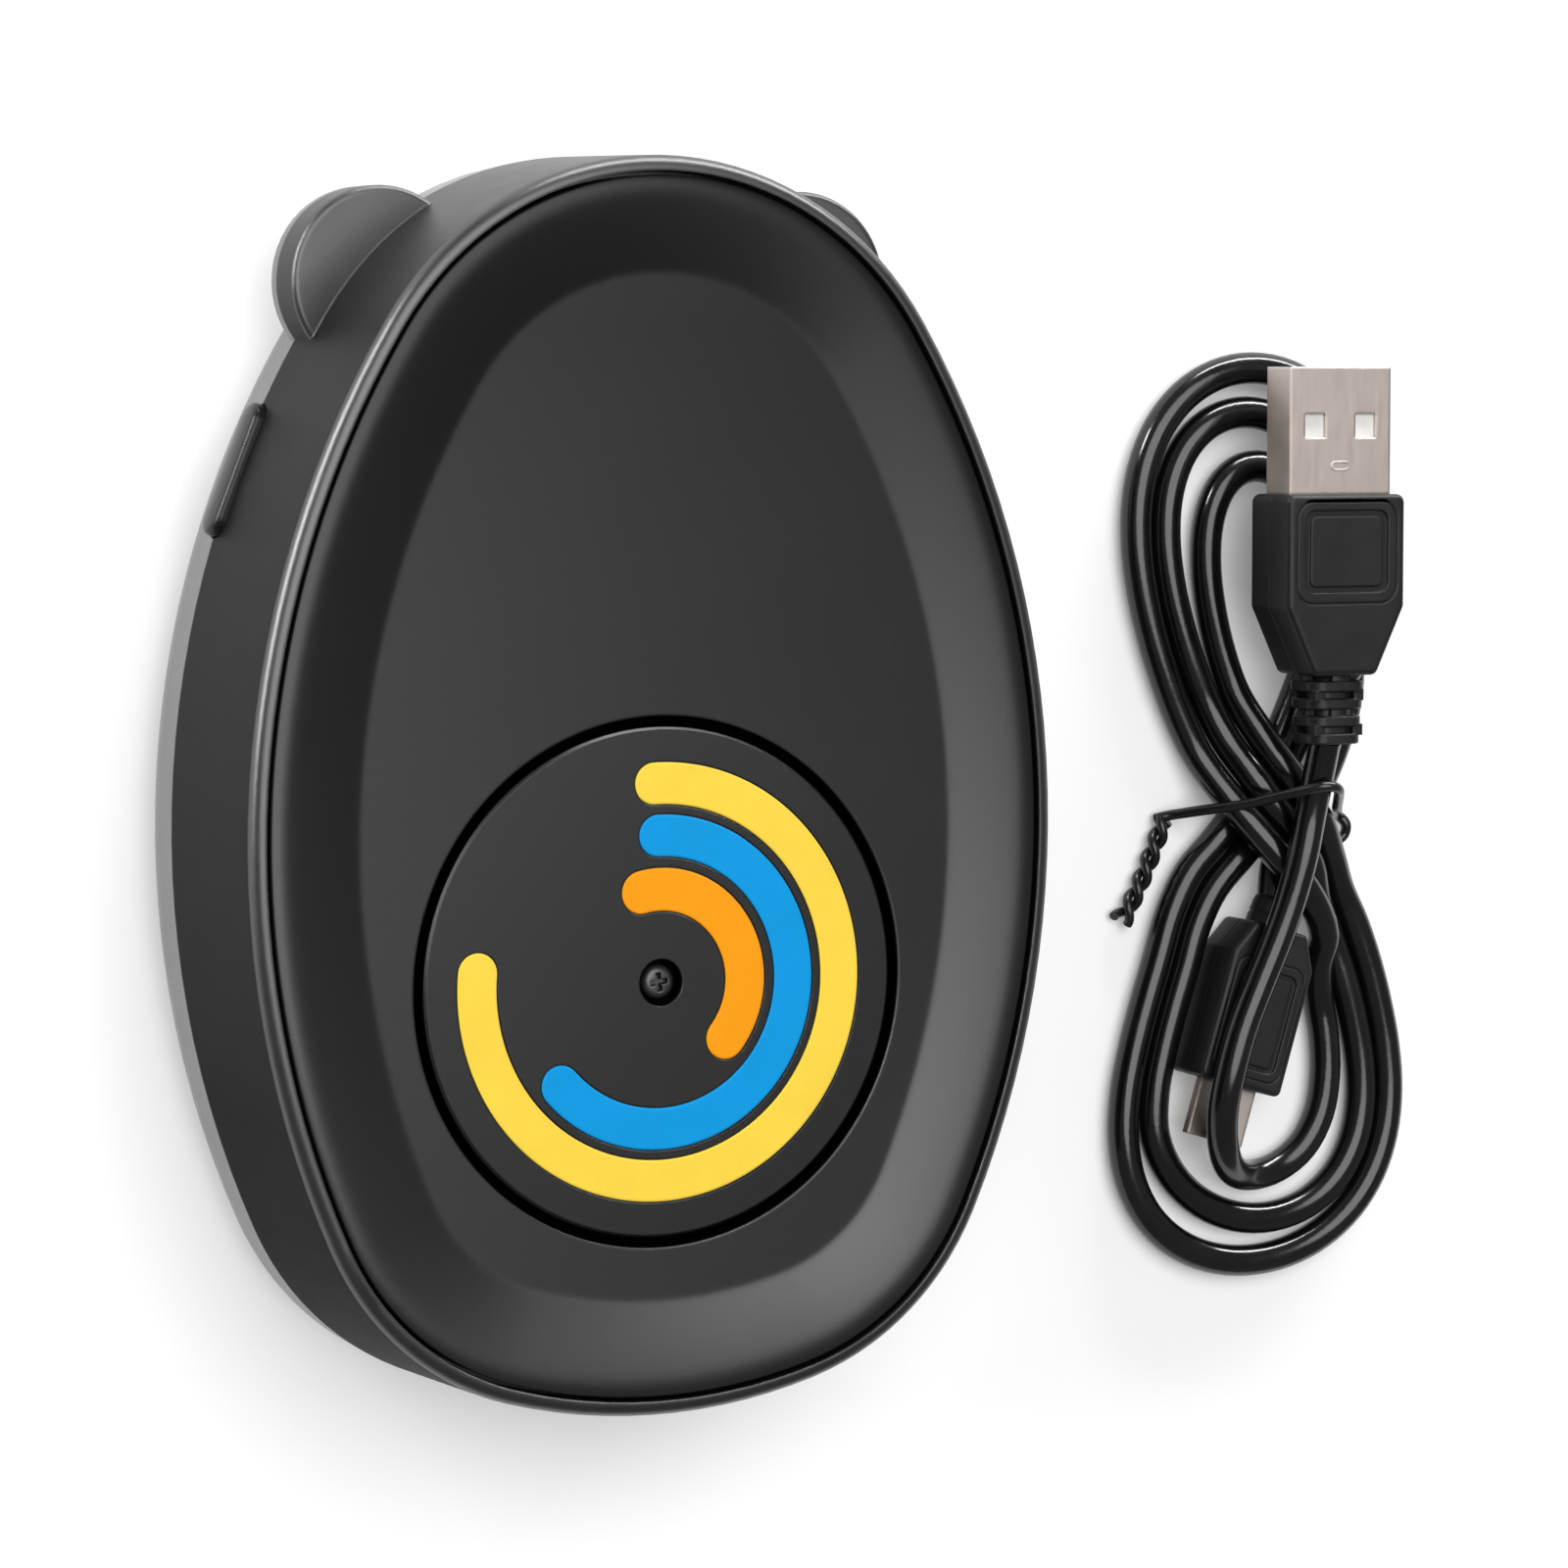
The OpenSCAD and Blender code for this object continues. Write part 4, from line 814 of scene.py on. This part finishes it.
def spline(pts, n):
    """Smooth plan curve through the points."""
    pts = np.array(pts, float)
    pts[:, 1] += SHIFT_Y
    full = np.concatenate([2 * pts[:1] - pts[1:2], pts, 2 * pts[-1:] - pts[-2:-1]])
    out = []
    for i in range(1, len(full) - 2):
        p0, p1, p2, p3 = full[i - 1:i + 3]
        for t in np.linspace(0, 1, n, endpoint=False):
            out.append(0.5 * (2 * p1 + (p2 - p0) * t + (2 * p0 - 5 * p1 + 4 * p2 - p3) * t * t + (3 * p1 - 3 * p2 + p3 - p0) * t ** 3))
    return np.array(out + [pts[-1]])


def taut(xy, h):
    """Upper hull of the heights along the way: a wire pulled tight over what it crosses."""
    s = np.concatenate([[0], np.cumsum(np.linalg.norm(np.diff(xy, axis=0), axis=1))])
    hull = []
    for p in zip(s, h):
        while len(hull) > 1 and (hull[-1][0] - hull[-2][0]) * (p[1] - hull[-2][1]) - (hull[-1][1] - hull[-2][1]) * (p[0] - hull[-2][0]) >= 0:
            hull.pop()
        hull.append(p)
    hull = np.array(hull)
    z = np.interp(s, hull[:, 0], hull[:, 1])
    for _ in range(6):
        z[1:-1] = np.maximum(h[1:-1], (z[:-2] + 2 * z[1:-1] + z[2:]) / 4)
    return z


def build_tie():
    gap = 0.66
    xy = spline([(70.3, -5.0), (73.5, -4.2), (77.0, -3.4), (80.4, -2.2), (83.4, -1.4), (86.2, -2.6), (88.4, -4.2), (90.4, -4.8), (91.9, -5.4)], 7)
    z = taut(xy, over(xy, gap))
    run = np.concatenate([xy, z[:, None]], 1)
    low = [(xy[0, 0] - 0.5, xy[0, 1] - 0.2, 0.62), (xy[0, 0] - 0.75, xy[0, 1] - 0.2, max(0.9, z[0] * 0.5))]
    end = [(xy[-1, 0] + 0.9, xy[-1, 1] - 1.0, max(1.0, z[-1] * 0.7)), (xy[-1, 0] + 0.9, xy[-1, 1] - 2.2, 0.75), (xy[-1, 0] + 0.1, xy[-1, 1] - 2.9, 0.62)]
    wire = tube_curve("tie_wire_loop", resample(np.concatenate([low, run[1:], end]), 1.1), 0.55, 5, 3)
    mid = spline([(70.6, -5.3), (69.6, -7.6), (68.4, -10.4), (67.0, -13.2), (65.6, -15.6)], 10)
    zc = taut(mid, over(mid, 1.15))
    s = np.concatenate([[0], np.cumsum(np.linalg.norm(np.diff(mid, axis=0), axis=1))])
    tang = np.gradient(mid, axis=0)
    tang /= np.linalg.norm(tang, axis=1, keepdims=True)
    side = np.stack([tang[:, 1], -tang[:, 0]], 1)
    tails = []
    for k, name in enumerate(("tie_wire_end_a", "tie_wire_end_b")):
        ph = 2 * math.pi * s / 4.6 + math.pi * k
        r = 0.56 + 0.5 * np.clip((s - s[-1] + 2.2) / 2.2, 0, 1) * (1 if k else 0.4)
        p = np.concatenate([mid + side * (r * np.cos(ph))[:, None], (zc + 0.5 * np.sin(ph))[:, None]], 1)
        tails.append(tube_curve(name, p, 0.5, 5, 3))
    return [wire] + tails


def build_screw():
    """The centre screw: shank, low head with a rounded shoulder, and its cross recess."""
    n = 96
    t = np.arange(n) * 2 * math.pi / n
    prof = [(0.55, 22.92), (0.98, 23.3), (0.98, 27.66), (1.55, 27.7), (1.62, 27.78), (1.62, 28.12), (1.58, 28.28), (1.46, 28.45), (1.26, 28.57), (1.12, 28.62), (1.02, 28.64)]
    rings = [[(r * math.cos(a), r * math.sin(a), z) for a in t] for r, z in prof]

    def cross(arm, half, z):
        phi = (t + math.pi / 4) % (math.pi / 2) - math.pi / 4
        r = np.minimum(arm / np.cos(phi), half / np.maximum(np.abs(np.sin(phi)), 1e-6))
        r = np.maximum(r, half * 1.35)
        return [(q * math.cos(a), q * math.sin(a), z) for q, a in zip(r, t)]

    rings += [cross(0.93, 0.31, 28.64), cross(0.90, 0.28, 28.6), cross(0.84, 0.22, 28.05), cross(0.6, 0.16, 27.9)]
    verts, faces = [], []
    add_solid(verts, faces, put(rings, (DISC[0], DISC[1], 0.0), 8.0))
    return mesh_obj("cross_screw", verts, faces, "dark_screw", body="turntable", sharp=30)


screw = build_screw()
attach(screw, "turntable")
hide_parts("centre_screw")
for node, width in (("turntable_disc", 0.0001), ("usb_a_shell", 0.0002), ("micro_shell", 0.00015)):
    mod = NODES[node].modifiers.new("edges", "BEVEL")
    mod.width = width
    mod.segments = 2
    mod.limit_method = "ANGLE"
    mod.angle_limit = math.radians(40)
    mod.use_clamp_overlap = False
    mod.harden_normals = True

usb_grip, small_grip, shell_mark, button_bar = build_usb_grip(), build_small_grip(), build_shell_mark(), build_button()
tie = build_tie()
for ob, node in ((usb_grip, "usb_a_grip"), (small_grip, "micro_grip"), (button_bar, "side_button")):
    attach(ob, "button" if node == "side_button" else "base")
    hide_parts(node)
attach(shell_mark, "base")
for ob in tie:
    ob.data.materials.append(M["tie_wire"])
    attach(ob, "base")
    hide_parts("twist_tie")

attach(panel, "base")
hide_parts("top_panel")
for ob, node in zip(stripes, ("stripe_outer", "stripe_middle", "stripe_inner")):
    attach(ob, "turntable")
    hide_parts(node)

cord.data.materials.append(M["cord_jacket"])
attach(cord, "base")
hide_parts("cable_hank", "cable_tail")

# ------------------------------------------------------------------ floor, light
def plane(name, half, z):
    me = bpy.data.meshes.new(name)
    me.from_pydata([(-half, -half, z), (half, -half, z), (half, half, z), (-half, half, z)], [], [(0, 1, 2, 3)])
    ob = bpy.data.objects.new(name, me)
    scene.collection.objects.link(ob)
    return ob


floor = plane("floor", 3.0, 0.0)
fm, nt, bsdf = mat_new("floor")
bsdf.inputs["Base Color"].default_value = (0.8, 0.8, 0.8, 1)
bsdf.inputs["Roughness"].default_value = 0.9
bsdf.inputs["Specular IOR Level"].default_value = 0.1
bsdf.inputs["Emission Color"].default_value = (1, 1, 1, 1)
bsdf.inputs["Emission Strength"].default_value = 0.2
floor.data.materials.append(fm)

world = bpy.data.worlds.new("world")
scene.world = world
world.use_nodes = True
world.node_tree.nodes["Background"].inputs[0].default_value = (1.0, 1.0, 1.0, 1)
world.node_tree.nodes["Background"].inputs[1].default_value = 0.2


def area(name, direction, distance, size, radiance, colour=(1, 1, 1), up=None):
    """A soft light of that radiance, aimed at the object. size is a disc's diameter, or a strip's length and width."""
    d = Vector(direction).normalized()
    la = bpy.data.lights.new(name, "AREA")
    if isinstance(size, tuple):
        la.shape = "RECTANGLE"
        la.size, la.size_y = size
        spread = size[0] * size[1]
    else:
        la.shape = "DISK"
        la.size = size
        spread = math.pi * size * size / 4
    la.energy = radiance * math.pi * spread
    la.color = colour
    ob = bpy.data.objects.new(name, la)
    scene.collection.objects.link(ob)
    z = d
    x = (Vector(up).cross(z) if up else Vector((0, 1, 0)).cross(z)).normalized()
    y = z.cross(x)
    at = d * distance + Vector((0.0, 0.0, 0.02))
    ob.matrix_world = Matrix(((x.x, y.x, z.x, at.x), (x.y, y.y, z.y, at.y), (x.z, y.z, z.z, at.z), (0, 0, 0, 1)))
    return ob


area("key", (-0.04, 0.23, 0.97), 2.2, 2.3, 3.4)
area("left_strip", (-0.88, 0.42, 0.20), 0.9, (0.10, 0.7), 42.0)
area("back_strip", (0.45, 0.87, 0.19), 0.9, (0.9, 0.10), 32.0, up=(0, 0, 1))

scene.view_settings.view_transform = "Standard"
